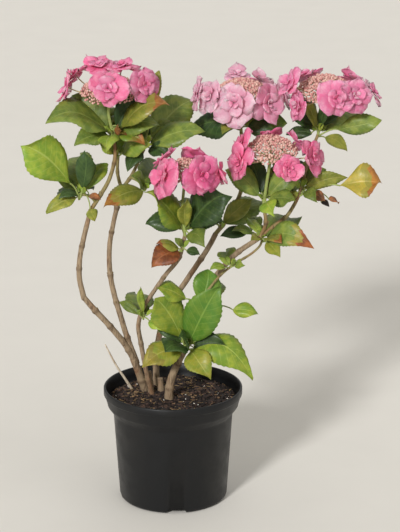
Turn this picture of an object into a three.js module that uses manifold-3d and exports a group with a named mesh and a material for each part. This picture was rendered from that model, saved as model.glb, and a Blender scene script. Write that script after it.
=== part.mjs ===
// Lacecap hydrangea in a round nursery pot, about 0.6 m tall.
//
// Millimetres, +Z up. The origin is the centre of the pot's flat underside, +X is the side of the
// three right-hand flower heads, and -Y is the front.
//
// The pot is a turned shell with drainage notches. Woody stems rise out of its compost, fork, and end
// in leaf masses and in green flower stalks. A leaf mass is a knot with tapering leaf pads round it,
// and a flower head is a low dome of small buds with a ring of round florets.

import * as THREE from 'three';
import { mergeVertices } from 'three/addons/utils/BufferGeometryUtils.js';
import Module from 'manifold-3d';

// ---- Driving dimensions ----

const GAP = 0.3; // left between pieces that touch

const POT = {
  height: 158,
  baseRadius: 73.5,
  bodyRadius: 81.5, // under the collar
  collarRadius: 89.5, // at the collar's lower edge
  rimRadius: 95,
  collarTop: 148,
  collarBottom: 134,
  bodyTop: 122,
  wall: 2.6,
  floor: 6.5,
  cornerRadius: 6,
  sides: 30,
};
const NOTCH = { count: 4, first: -86, width: 28, height: 5, depth: 16 };
const COMPOST = { edge: 139, middle: 147 };

// A stem's route runs upwards. thick is its diameter at the foot and at the top.
const STEMS = {
  stem_left_base: {
    route: [[-36, 16, 140], [-45, 11, 168], [-54, 6, 195]],
    thick: [11, 9.6],
  },
  stem_outer_left_lower: {
    route: [[-54, 6, 195], [-63, 2, 214], [-81, -6, 241], [-104, -12, 270], [-119, -16, 290]],
    thick: [8.6, 7.4],
  },
  stem_outer_left_upper: {
    route: [[-119, -16, 290], [-124, -18, 318], [-123, -18, 344], [-118, -16, 370], [-108, -10, 409]],
    thick: [7.4, 6],
  },
  bough_head_1: {
    route: [[-108, -10, 409], [-96, -7, 427], [-83, -5, 450], [-75, -3, 482], [-77, -2, 508]],
    thick: [5.6, 4.8],
  },
  flower_stalk_1: {
    route: [[-77, -2, 508], [-83, 0, 538], [-81, 0, 562]],
    thick: [4.6, 4],
  },
  stem_inner_left: {
    route: [[-50, 9, 190], [-60, 5, 220], [-71, 4, 258], [-83, 9, 306], [-85, 13, 348], [-80, 15, 380],
      [-68, 19, 430]],
    thick: [8, 6],
  },
  bough_young_pair: {
    route: [[-68, 19, 430], [-73, 20, 452], [-72, 14, 474]],
    thick: [5, 4],
  },
  bough_upper_middle: {
    route: [[-68, 19, 430], [-56, 19, 446], [-46, 17, 466], [-38, 16, 484]],
    thick: [5, 4],
  },
  stem_front: {
    route: [[-27, -2, 140], [-36, -8, 180], [-43, -13, 225], [-46, -17, 250], [-40, -23, 275],
      [-27, -28, 298], [-8, -35, 328], [9, -41, 352], [17, -46, 384]],
    thick: [6.4, 5.4],
  },
  flower_stalk_4: {
    route: [[17, -46, 384], [14, -50, 420], [17, -52, 462]],
    thick: [4.4, 3.6],
  },
  stem_back: {
    route: [[-24, 34, 140], [-22, 35, 200], [-8, 36, 256], [16, 40, 292], [32, 43, 316], [49, 46, 342],
      [58, 47, 360]],
    thick: [9, 7],
  },
  bough_head_2: {
    route: [[58, 47, 360], [72, 49, 378], [92, 52, 418], [95, 54, 450], [92, 55, 500]],
    thick: [6, 4.6],
  },
  flower_stalk_2: {
    route: [[92, 55, 500], [91, 58, 522], [93, 60, 544]],
    thick: [4.4, 4],
  },
  stem_right: {
    route: [[-6, -22, 140], [-3, -23, 172], [9, -26, 205], [22, -24, 232], [34, -14, 262], [46, 0, 296],
      [63, 2, 320], [86, -2, 347], [117, -8, 371]],
    thick: [11, 6.4],
  },
  bough_head_5: {
    route: [[117, -8, 371], [124, -10, 390], [121, -12, 416]],
    thick: [5.4, 4.8],
  },
  flower_stalk_5: {
    route: [[121, -12, 416], [125, -12, 448], [130, -12, 484]],
    thick: [4.6, 4],
  },
  bough_right: {
    route: [[117, -8, 371], [134, -9, 386], [151, -10, 400], [160, -8, 413], [169, -4, 432], [176, 8, 456],
      [186, 28, 482], [194, 38, 500]],
    thick: [5.4, 4],
  },
  flower_stalk_3: {
    route: [[194, 38, 500], [200, 40, 528], [203, 38, 554]],
    thick: [4, 3.6],
  },
  side_shoot: {
    route: [[48, -14, 300], [64, -8, 318], [84, -13, 336], [106, -15, 351], [117, -11, 361]],
    thick: [3.4, 3],
  },
  dry_stub: {
    route: [[-56, 30, 140], [-65, 27, 156], [-78, 25, 178], [-93, 24, 209]],
    thick: [4.2, 1.8],
  },
  old_stump_left: { route: [[-30, 4, 140], [-31, 6, 160], [-33, 8, 176]], thick: [8, 6.5] },
  old_stump_right: { route: [[-16, 8, 140], [-17, 8, 155], [-18, 9, 166]], thick: [8.5, 7] },
};

// A leaf is [azimuth, rise, reach, width]: degrees, then millimetres from the mass's knot to the tip.
// A fifth number is the length of bare stalk before the blade.
const LEAF_MASSES = {
  leaves_left_tip: {
    knot: [-118, -17, 432],
    leaves: [[-141, 43, 117, 54, 26], [-72, 74, 62, 27], [126, -8, 60, 22], [42, 40, 56, 32],
      [-162, -14, 54, 21], [95, 24, 84, 42]],
  },
  leaves_below_head_1: {
    knot: [-77, -3, 512],
    leaves: [[-156, 19, 92, 50], [165, 40, 74, 48], [46, 36, 70, 40], [-28, 32, 92, 40, 16],
      [104, 2, 96, 48], [-100, -12, 56, 30]],
  },
  leaves_young_pair: {
    knot: [-72, 8, 478],
    leaves: [[-135, 38, 46, 26], [-35, 28, 56, 30], [95, 18, 60, 28]],
  },
  leaves_upper_middle: {
    knot: [-37, 15, 490],
    leaves: [[42, 30, 102, 46, 16], [-9, 18, 82, 35], [30, 2, 60, 27], [-130, -38, 44, 24], [98, 6, 98, 46],
      [150, 46, 60, 40], [130, -14, 70, 34]],
  },
  leaves_inner_fork: {
    knot: [-36, 9, 432],
    leaves: [[-146, -12, 64, 31, 4], [75, 8, 84, 40]],
  },
  leaves_below_head_4: {
    knot: [17, -46, 391],
    leaves: [[-145, 49, 78, 42], [-84, 56, 55, 18], [-27, 43, 76, 44], [78, 10, 84, 42], [-178, 14, 52, 28],
      [-60, -8, 48, 26]],
  },
  leaf_brown_folded: {
    knot: [14, -50, 366],
    leaves: [[-150, -14, 48, 34, 5], [-160, 20, 36, 20, 5], [-8, -14, 22, 12]],
  },
  leaves_mid_back: {
    knot: [63, 48, 369],
    leaves: [[-22, 44, 62, 20], [112, 18, 98, 46], [40, 16, 84, 40], [170, 24, 56, 28]],
  },
  leaves_below_head_2: {
    knot: [92, 54, 508],
    leaves: [[-164, 32, 50, 26], [-119, 4, 52, 22], [-18, -4, 42, 20], [82, 0, 100, 48], [150, -12, 84, 42],
      [30, -6, 70, 36]],
  },
  leaves_below_head_5: {
    knot: [121, -12, 424],
    leaves: [[122, 58, 58, 24], [-172, 39, 66, 30], [-8, 36, 62, 30], [58, 10, 98, 46], [-75, -10, 46, 24],
      [-40, 8, 50, 24]],
  },
  leaves_bronze: {
    knot: [121, -9, 370],
    leaves: [[-33, 2, 78, 38, 6], [-62, -14, 44, 18], [118, 22, 46, 16], [55, 2, 92, 42]],
  },
  leaves_right_tip: {
    knot: [172, -6, 436],
    leaves: [[-8, 16, 62, 18, 4], [-14, 9.5, 105, 48, 52], [44, 22, 50, 30], [16, -36, 46, 14],
      [72, 30, 56, 26]],
  },
  leaves_below_head_3: {
    knot: [195, 38, 502],
    leaves: [[-20, 20, 84, 27, 16], [24, -28, 46, 18], [-150, 60, 48, 14], [48, 10, 96, 44],
      [120, 16, 76, 36], [170, -4, 44, 20]],
  },
  leaves_low_shoot: {
    knot: [20, -32, 226],
    leaves: [[-34, 62, 104, 44], [-162, 58, 82, 44, 20], [-16, -20, 98, 46], [146, -34, 50, 32],
      [-152, -14, 68, 38], [-60, -26, 60, 34], [98, 6, 92, 44], [30, -22, 44, 16]],
  },
  leaves_right_stem: {
    knot: [38, -16, 278],
    leaves: [[-161, 28, 67, 24, 28], [-14, -4, 78, 22, 44], [58, 66, 48, 36, 4], [76, 8, 88, 42]],
  },
  leaves_front_stem: {
    knot: [-38, -26, 264],
    leaves: [[150, 22, 42, 14], [-100, 66, 56, 12], [100, 8, 84, 38], [-40, -16, 36, 18]],
  },
  leaves_side_shoot: {
    knot: [78, -12, 331],
    leaves: [[-150, 2, 32, 14], [-52, 20, 26, 12], [96, 6, 60, 26]],
  },
};

// A floret is [azimuth, distance out, height above the dome's foot, diameter, rise of its face].
const FLOWER_HEADS = {
  flower_head_1: {
    foot: [-81, 0, 566],
    domeRadius: 46,
    florets: [[-87, 46, 14, 54, 20], [-171, 66, 10, 46, 14], [118, 44, 28, 44, 40], [66, 42, 28, 44, 40],
      [-20, 64, 14, 52, 18], [160, 56, 16, 40, 40], [12, 62, 10, 42, 16]],
  },
  flower_head_2: {
    foot: [93, 60, 548],
    domeRadius: 48,
    florets: [[-104, 54, 3, 60, 12], [-144, 58, 6, 48, 14], [-176, 67, 3, 38, 10], [-50, 58, -4, 54, 12],
      [98, 46, 20, 36, 50], [55, 54, 12, 36, 40], [8, 62, 2, 40, 20]],
  },
  flower_head_3: {
    foot: [203, 38, 558],
    domeRadius: 46,
    florets: [[-160, 58, 17, 40, 30], [-142, 56, -10, 40, 0], [-84, 50, -6, 48, 10], [-40, 54, 2, 44, 14],
      [0, 70, 0, 42, 40], [38, 54, 12, 40, 44], [118, 52, 14, 38, 44]],
  },
  flower_head_4: {
    foot: [18, -52, 468],
    domeRadius: 34,
    florets: [[-135, 40, 6, 58, 14], [-60, 42, 10, 60, 14], [160, 38, 18, 38, 44], [60, 38, 16, 38, 40],
      [-4, 50, 6, 36, 14]],
  },
  flower_head_5: {
    foot: [130, -13, 488],
    domeRadius: 42,
    florets: [[-168, 46, 17, 34, 30], [-148, 56, -6, 46, 10], [92, 46, 14, 36, 50], [26, 44, 12, 36, 40],
      [-3, 62, -4, 50, 10], [-64, 48, -12, 38, 4]],
  },
};

const LIMB_SIDES = 6;
const LIMB_STEP = 34; // length of one section of a limb
const LEAF_THICKNESS = 7;
const LEAF_SIDES = 4;
const FLORET_SIDES = 6;
const LEAF_ARCH = 0.12; // how far mid blade rises, as a share of the blade's length
const LIGHT_FROM = { azimuth: -95, rise: 38 }; // the side that the plant turns its leaves to
const BARE_STALK = 9;
const STALK_RADIUS = 2.2;
const KNOT_RADIUS = 8;
const FLORET_THICKNESS = 9;
const DOME_HEIGHT = 13;
const DOME_SIDES = 9;

const COLOURS = {
  pot: 0x26272a,
  compost: 0x3a2720,
  wood: 0xab9270,
  green_stem: 0x8d9a58,
  dry: 0xc9b9a0,
  leaf: 0x5f8434,
  young_leaf: 0x93a046,
  autumn_leaf: 0x9a7a3c,
  flower: 0xe57aa6,
};

// ---- Helpers ----

const wasm = await Module();
wasm.setup();

function radians(degrees) {
  return THREE.MathUtils.degToRad(degrees);
}

function direction(azimuth, rise) {
  const flat = Math.cos(radians(rise));
  return new THREE.Vector3(
    flat * Math.cos(radians(azimuth)),
    flat * Math.sin(radians(azimuth)),
    Math.sin(radians(rise)),
  );
}

function vector([x, y, z]) {
  return new THREE.Vector3(x, y, z);
}

function solidOf(geometry) {
  const bare = geometry.clone();
  bare.deleteAttribute('normal');
  bare.deleteAttribute('uv');
  const merged = mergeVertices(bare, 1e-3);
  return new wasm.Manifold(new wasm.Mesh({
    numProp: 3,
    vertProperties: Float32Array.from(merged.attributes.position.array),
    triVerts: Uint32Array.from(merged.index.array),
  }));
}

function geometryOf(solid) {
  const { vertProperties, triVerts } = solid.getMesh();
  const geometry = new THREE.BufferGeometry();
  geometry.setAttribute('position', new THREE.BufferAttribute(vertProperties, 3));
  geometry.setIndex(new THREE.BufferAttribute(triVerts, 1));
  geometry.computeVertexNormals();
  return geometry;
}

function join(solids) {
  return solids.reduce((whole, solid) => whole.add(solid));
}

// A cut can leave loose crumbs: only the biggest piece is kept.
function biggest(solid) {
  return solid.decompose().reduce((best, piece) => (piece.volume() > best.volume() ? piece : best));
}

// Turned profile of [radius, height] points, with +Z as its axis.
function turned(profile, sides) {
  const points = profile.map(([radius, height]) => new THREE.Vector2(radius, height));
  return new THREE.LatheGeometry(points, sides).rotateX(Math.PI / 2);
}

// Turns a shape that points along +Z towards the given direction, with its flat side to the light.
function pointed(geometry, way, foot) {
  const side = new THREE.Vector3().crossVectors(LIGHT, way).normalize();
  const face = new THREE.Vector3().crossVectors(way, side);
  const frame = new THREE.Matrix4().makeBasis(side, face, way);
  return geometry.applyMatrix4(frame.setPosition(foot));
}

// Tapering round limb along a smooth curve: an extruded section whose rings are then scaled.
function limb(points, thickFoot, thickTop, grow = 0) {
  const curve = new THREE.CatmullRomCurve3(points, false, 'centripetal');
  const steps = Math.max(2, Math.round(curve.getLength() / LIMB_STEP));
  const section = new THREE.Shape();
  for (let i = 0; i < LIMB_SIDES; i += 1) {
    const angle = (2 * Math.PI * i) / LIMB_SIDES;
    section[i ? 'lineTo' : 'moveTo'](Math.cos(angle), Math.sin(angle));
  }
  section.closePath();
  const geometry = new THREE.ExtrudeGeometry(section, { steps, extrudePath: curve });
  const centres = curve.getSpacedPoints(steps);
  const position = geometry.attributes.position;
  const vertex = new THREE.Vector3();
  for (let i = 0; i < position.count; i += 1) {
    vertex.fromBufferAttribute(position, i);
    const distances = centres.map((centre) => centre.distanceTo(vertex));
    const ring = distances.indexOf(Math.min(...distances));
    const radius = THREE.MathUtils.lerp(thickFoot, thickTop, ring / steps) / 2 + grow;
    vertex.sub(centres[ring]).multiplyScalar(radius).add(centres[ring]);
    position.setXYZ(i, vertex.x, vertex.y, vertex.z);
  }
  return solidOf(geometry);
}

const LIGHT = direction(LIGHT_FROM.azimuth, LIGHT_FROM.rise);

// ---- Pot and compost ----

// The pot's inside from its floor up to the collar, or a surface that far inside its outside.
function innerWall(inset) {
  return [
    [POT.baseRadius - inset, POT.floor],
    [POT.bodyRadius - inset, POT.bodyTop],
    [POT.collarRadius - inset, POT.collarBottom],
  ];
}

function potShell() {
  const { height, baseRadius, bodyRadius, collarRadius, rimRadius, wall, floor, cornerRadius } = POT;
  const outside = [
    [0, 0],
    [baseRadius - cornerRadius, 0],
    [baseRadius - cornerRadius * 0.3, cornerRadius * 0.3],
    [baseRadius + 0.4, cornerRadius],
    [bodyRadius, POT.bodyTop],
    [collarRadius, POT.collarBottom],
    [rimRadius - 1.6, POT.collarTop],
    [rimRadius, POT.collarTop + 1],
    [rimRadius, height],
  ];
  const inside = [
    [rimRadius - wall - 1, height],
    ...innerWall(wall).reverse(),
    [0, floor],
  ];
  return solidOf(turned([...outside, ...inside], POT.sides));
}

function drainageNotches() {
  const notches = [];
  for (let i = 0; i < NOTCH.count; i += 1) {
    const box = new THREE.BoxGeometry(NOTCH.depth, NOTCH.width, 2 * NOTCH.height);
    box.translate(POT.baseRadius, 0, 0);
    box.rotateZ(radians(NOTCH.first + (360 / NOTCH.count) * i));
    notches.push(solidOf(box));
  }
  return join(notches);
}

function compost(grow = 0) {
  const { edge, middle } = COMPOST;
  const inset = POT.wall + 2 * GAP;
  const edgeRadius = POT.collarRadius - inset;
  return solidOf(turned([
    [0, POT.floor + GAP],
    ...innerWall(inset).map(([radius, height]) => [radius, height + GAP]),
    [edgeRadius, edge + grow],
    [edgeRadius * 0.6, (edge + middle * 3) / 4 + grow],
    [0, middle + grow],
  ], POT.sides));
}

// ---- Leaves and flowers ----

// A leaf from its foot to its tip: a thin round stalk that widens into a flat blade with a low arch.
// Each ring is [place along the leaf, half its width, half its thickness].
function leafPad(knot, leaf, grow) {
  const [azimuth, rise, reach, width, bareStalk = BARE_STALK] = leaf;
  const blade = reach - bareStalk;
  const thickness = LEAF_THICKNESS / 2;
  const rings = [
    [bareStalk, STALK_RADIUS, STALK_RADIUS],
    [bareStalk + 0.22 * blade, 0.46 * width, thickness],
    [bareStalk + 0.62 * blade, 0.46 * width, thickness],
  ].map(([along, half, thin]) => [along, half + grow, thin + grow]);
  const profile = [[0, -grow], ...rings.map(([along, half]) => [half, along]), [0, reach + grow]];
  const shape = turned(profile, LEAF_SIDES);
  const position = shape.attributes.position;
  for (let i = 0; i < position.count; i += 1) {
    const ring = rings.find(([along]) => Math.abs(along - position.getZ(i)) < 1e-3);
    if (ring) position.setY(i, (position.getY(i) * ring[2]) / ring[1]);
  }
  const way = direction(azimuth, rise);
  pointed(shape, way, knot);
  for (let i = 0; i < position.count; i += 1) {
    const along = new THREE.Vector3().fromBufferAttribute(position, i).sub(knot).dot(way);
    const share = THREE.MathUtils.clamp((along - bareStalk) / blade, 0, 1);
    position.setZ(i, position.getZ(i) + 4 * LEAF_ARCH * blade * share * (1 - share));
  }
  return solidOf(shape);
}

function leafMass({ knot, leaves }, grow = 0) {
  const centre = vector(knot);
  const core = new THREE.IcosahedronGeometry(KNOT_RADIUS + grow, 0).translate(...knot);
  return join([solidOf(core), ...leaves.map((leaf) => leafPad(centre, leaf, grow))]);
}

function floretDisc(foot, [azimuth, out, up, diameter, faceRise], grow) {
  const radius = diameter / 2 + grow;
  const half = FLORET_THICKNESS / 2 + grow;
  const lens = turned([[0, -half], [radius, -half * 0.3], [radius, half * 0.3], [0, half]], FLORET_SIDES);
  const centre = foot.clone().addScaledVector(direction(azimuth, 0), out - half);
  centre.z += up;
  const root = foot.clone().add(new THREE.Vector3(0, 0, DOME_HEIGHT / 3));
  const reach = centre.clone().sub(root);
  const stalk = new THREE.CylinderGeometry(STALK_RADIUS + grow, STALK_RADIUS + grow, reach.length(), 3)
    .rotateX(Math.PI / 2)
    .translate(0, 0, reach.length() / 2);
  const face = solidOf(pointed(lens, direction(azimuth, faceRise), centre));
  return face.add(solidOf(pointed(stalk, reach.normalize(), root)));
}

function flowerHead({ foot, domeRadius, florets }, grow = 0) {
  const centre = vector(foot);
  const radius = domeRadius + grow;
  const top = DOME_HEIGHT + grow;
  const profile = [
    [0, -grow],
    [radius * 0.9, -grow],
    [radius, top * 0.4],
    [radius * 0.6, top * 0.9],
    [0, top],
  ];
  const dome = turned(profile, DOME_SIDES).translate(...foot);
  return join([solidOf(dome), ...florets.map((floret) => floretDisc(centre, floret, grow))]);
}

// ---- Assembly ----

const plant = new THREE.Group();

function addPiece(name, solid, colour, roughness) {
  const material = new THREE.MeshStandardMaterial({ color: colour, roughness, metalness: 0 });
  const mesh = new THREE.Mesh(geometryOf(biggest(solid)), material);
  mesh.name = name;
  plant.add(mesh);
}

function stemColour(name) {
  if (name.startsWith('flower_stalk')) return COLOURS.green_stem;
  return name === 'dry_stub' ? COLOURS.dry : COLOURS.wood;
}

function leafColour(name) {
  if (name === 'leaf_brown_folded' || name === 'leaves_bronze') return COLOURS.autumn_leaf;
  return name === 'leaves_young_pair' || name === 'leaves_side_shoot' ? COLOURS.young_leaf : COLOURS.leaf;
}

addPiece('pot', potShell().subtract(drainageNotches()), COLOURS.pot, 0.5);
addPiece('compost', compost(), COLOURS.compost, 0.95);

// Each piece is cut round those before it: the compost, then the limbs, then the masses.
const standing = [compost(GAP)];

function cutRound(solid) {
  return standing.reduce((left, other) => left.subtract(other), solid);
}

for (const [name, { route, thick }] of Object.entries(STEMS)) {
  const points = route.map(vector);
  addPiece(name, cutRound(limb(points, ...thick)), stemColour(name), 0.8);
  standing.push(limb(points, ...thick, GAP));
}
for (const [name, mass] of Object.entries(LEAF_MASSES)) {
  addPiece(name, cutRound(leafMass(mass)), leafColour(name), 0.6);
  standing.push(leafMass(mass, GAP));
}
for (const [name, head] of Object.entries(FLOWER_HEADS)) {
  addPiece(name, cutRound(flowerHead(head)), COLOURS.flower, 0.7);
  standing.push(flowerHead(head, GAP));
}

export default plant;
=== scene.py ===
"""Lacecap hydrangea in a round nursery pot: the finished plant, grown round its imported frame.

The frame gives the pot, the compost, the limbs, the leaf masses and the flower heads. Here each limb gets
bark, and each leaf mass and flower head is replaced by stalks, leaves, sepals and buds that grow on from
the limbs by a seeded rule. Lengths in the tables are in millimetres, and MM turns them to metres.
"""

import math
import random

import bmesh
import bpy
import numpy as np
from mathutils import Matrix, Vector, noise


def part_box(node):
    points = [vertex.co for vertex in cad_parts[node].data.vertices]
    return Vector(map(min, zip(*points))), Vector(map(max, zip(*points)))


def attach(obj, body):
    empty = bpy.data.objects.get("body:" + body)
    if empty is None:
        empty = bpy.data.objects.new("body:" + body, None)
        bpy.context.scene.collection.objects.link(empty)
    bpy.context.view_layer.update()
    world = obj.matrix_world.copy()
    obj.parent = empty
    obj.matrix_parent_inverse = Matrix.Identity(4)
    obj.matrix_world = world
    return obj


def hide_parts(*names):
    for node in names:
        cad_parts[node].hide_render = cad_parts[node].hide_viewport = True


bl_info = {
    "name": "Potted Lacecap Hydrangea",
    "version": (1, 0, 0),
    "blender": (4, 5, 0),
    "location": "View3D > Sidebar > Hydrangea",
    "description": "Grows a lacecap hydrangea in a nursery pot on its packed frame",
    "category": "Object",
}

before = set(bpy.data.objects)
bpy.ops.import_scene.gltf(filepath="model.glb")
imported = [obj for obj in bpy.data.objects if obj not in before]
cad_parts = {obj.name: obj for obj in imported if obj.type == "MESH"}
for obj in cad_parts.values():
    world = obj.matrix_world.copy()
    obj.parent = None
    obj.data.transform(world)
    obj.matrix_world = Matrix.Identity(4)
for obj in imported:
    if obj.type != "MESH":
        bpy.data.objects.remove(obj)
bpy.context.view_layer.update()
POT_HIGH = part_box("pot")[1]
MM = 0.001
UP = Vector((0, 0, 1))

# ---- The plant's tables ----

STEM_FOOT = 140  # height at which the stems start, just under the compost's surface

# A limb is its route upwards, its diameter at the foot and at the top, and its kind of surface.
LIMBS = {
    "stem_left_base": ([(-36, 16, STEM_FOOT), (-45, 11, 168), (-54, 6, 195)], (11, 9.6), "bark"),
    "stem_outer_left_lower": (
        [(-54, 6, 195), (-63, 2, 214), (-81, -6, 241), (-104, -12, 270), (-119, -16, 290)], (8.6, 7.4),
        "bark"),
    "stem_outer_left_upper": (
        [(-119, -16, 290), (-124, -18, 318), (-123, -18, 344), (-118, -16, 370), (-108, -10, 409)],
        (7.4, 6), "bark"),
    "bough_head_1": (
        [(-108, -10, 409), (-96, -7, 427), (-83, -5, 450), (-75, -3, 482), (-77, -2, 508)], (5.6, 4.8),
        "young"),
    "flower_stalk_1": ([(-77, -2, 508), (-83, 0, 538), (-81, 0, 562)], (4.6, 4), "green"),
    "stem_inner_left": (
        [(-50, 9, 190), (-60, 5, 220), (-71, 4, 258), (-83, 9, 306), (-85, 13, 348), (-80, 15, 380),
        (-68, 19, 430)], (8, 6), "bark"),
    "bough_young_pair": ([(-68, 19, 430), (-73, 20, 452), (-72, 14, 474)], (5, 4), "young"),
    "bough_upper_middle": (
        [(-68, 19, 430), (-56, 19, 446), (-46, 17, 466), (-38, 16, 484)], (5, 4), "young"),
    "stem_front": (
        [(-27, -2, STEM_FOOT), (-36, -8, 180), (-43, -13, 225), (-46, -17, 250), (-40, -23, 275),
        (-27, -28, 298), (-8, -35, 328), (9, -41, 352), (17, -46, 384)], (6.4, 5.4), "bark"),
    "flower_stalk_4": ([(17, -46, 384), (14, -50, 420), (17, -52, 462)], (4.4, 3.6), "green"),
    "stem_back": (
        [(-24, 34, STEM_FOOT), (-22, 35, 200), (-8, 36, 256), (16, 40, 292), (32, 43, 316), (49, 46, 342),
        (58, 47, 360)], (9, 7), "bark"),
    "bough_head_2": (
        [(58, 47, 360), (72, 49, 378), (92, 52, 418), (95, 54, 450), (92, 55, 500)], (6, 4.6), "young"),
    "flower_stalk_2": ([(92, 55, 500), (91, 58, 522), (93, 60, 544)], (4.4, 4), "green"),
    "stem_right": (
        [(-6, -22, STEM_FOOT), (-3, -23, 172), (9, -26, 205), (22, -24, 232), (34, -14, 262), (46, 0, 296),
        (63, 2, 320), (86, -2, 347), (117, -8, 371)], (11, 6.4), "bark"),
    "bough_head_5": ([(117, -8, 371), (124, -10, 390), (121, -12, 416)], (5.4, 4.8), "young"),
    "flower_stalk_5": ([(121, -12, 416), (125, -12, 448), (130, -12, 484)], (4.6, 4), "green"),
    "bough_right": (
        [(117, -8, 371), (134, -9, 386), (151, -10, 400), (160, -8, 413), (169, -4, 432), (176, 8, 456),
        (186, 28, 482), (194, 38, 500)], (5.4, 4), "young"),
    "flower_stalk_3": ([(194, 38, 500), (200, 40, 528), (203, 38, 554)], (4, 3.6), "green"),
    "side_shoot": (
        [(48, -14, 300), (64, -8, 318), (84, -13, 336), (106, -15, 351), (117, -11, 361), (120, -9, 372)],
        (3.4, 3), "young"),
    "dry_stub": (
        [(-56, 30, STEM_FOOT), (-65, 27, 156), (-78, 25, 178), (-93, 24, 209)], (4.2, 1.8), "dry"),
    "old_stump_left": ([(-30, 4, STEM_FOOT), (-31, 6, 160), (-33, 8, 176)], (8, 6.5), "bark"),
    "old_stump_right": ([(-16, 8, STEM_FOOT), (-17, 8, 155), (-18, 9, 166)], (8.5, 7), "bark"),
}

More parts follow.
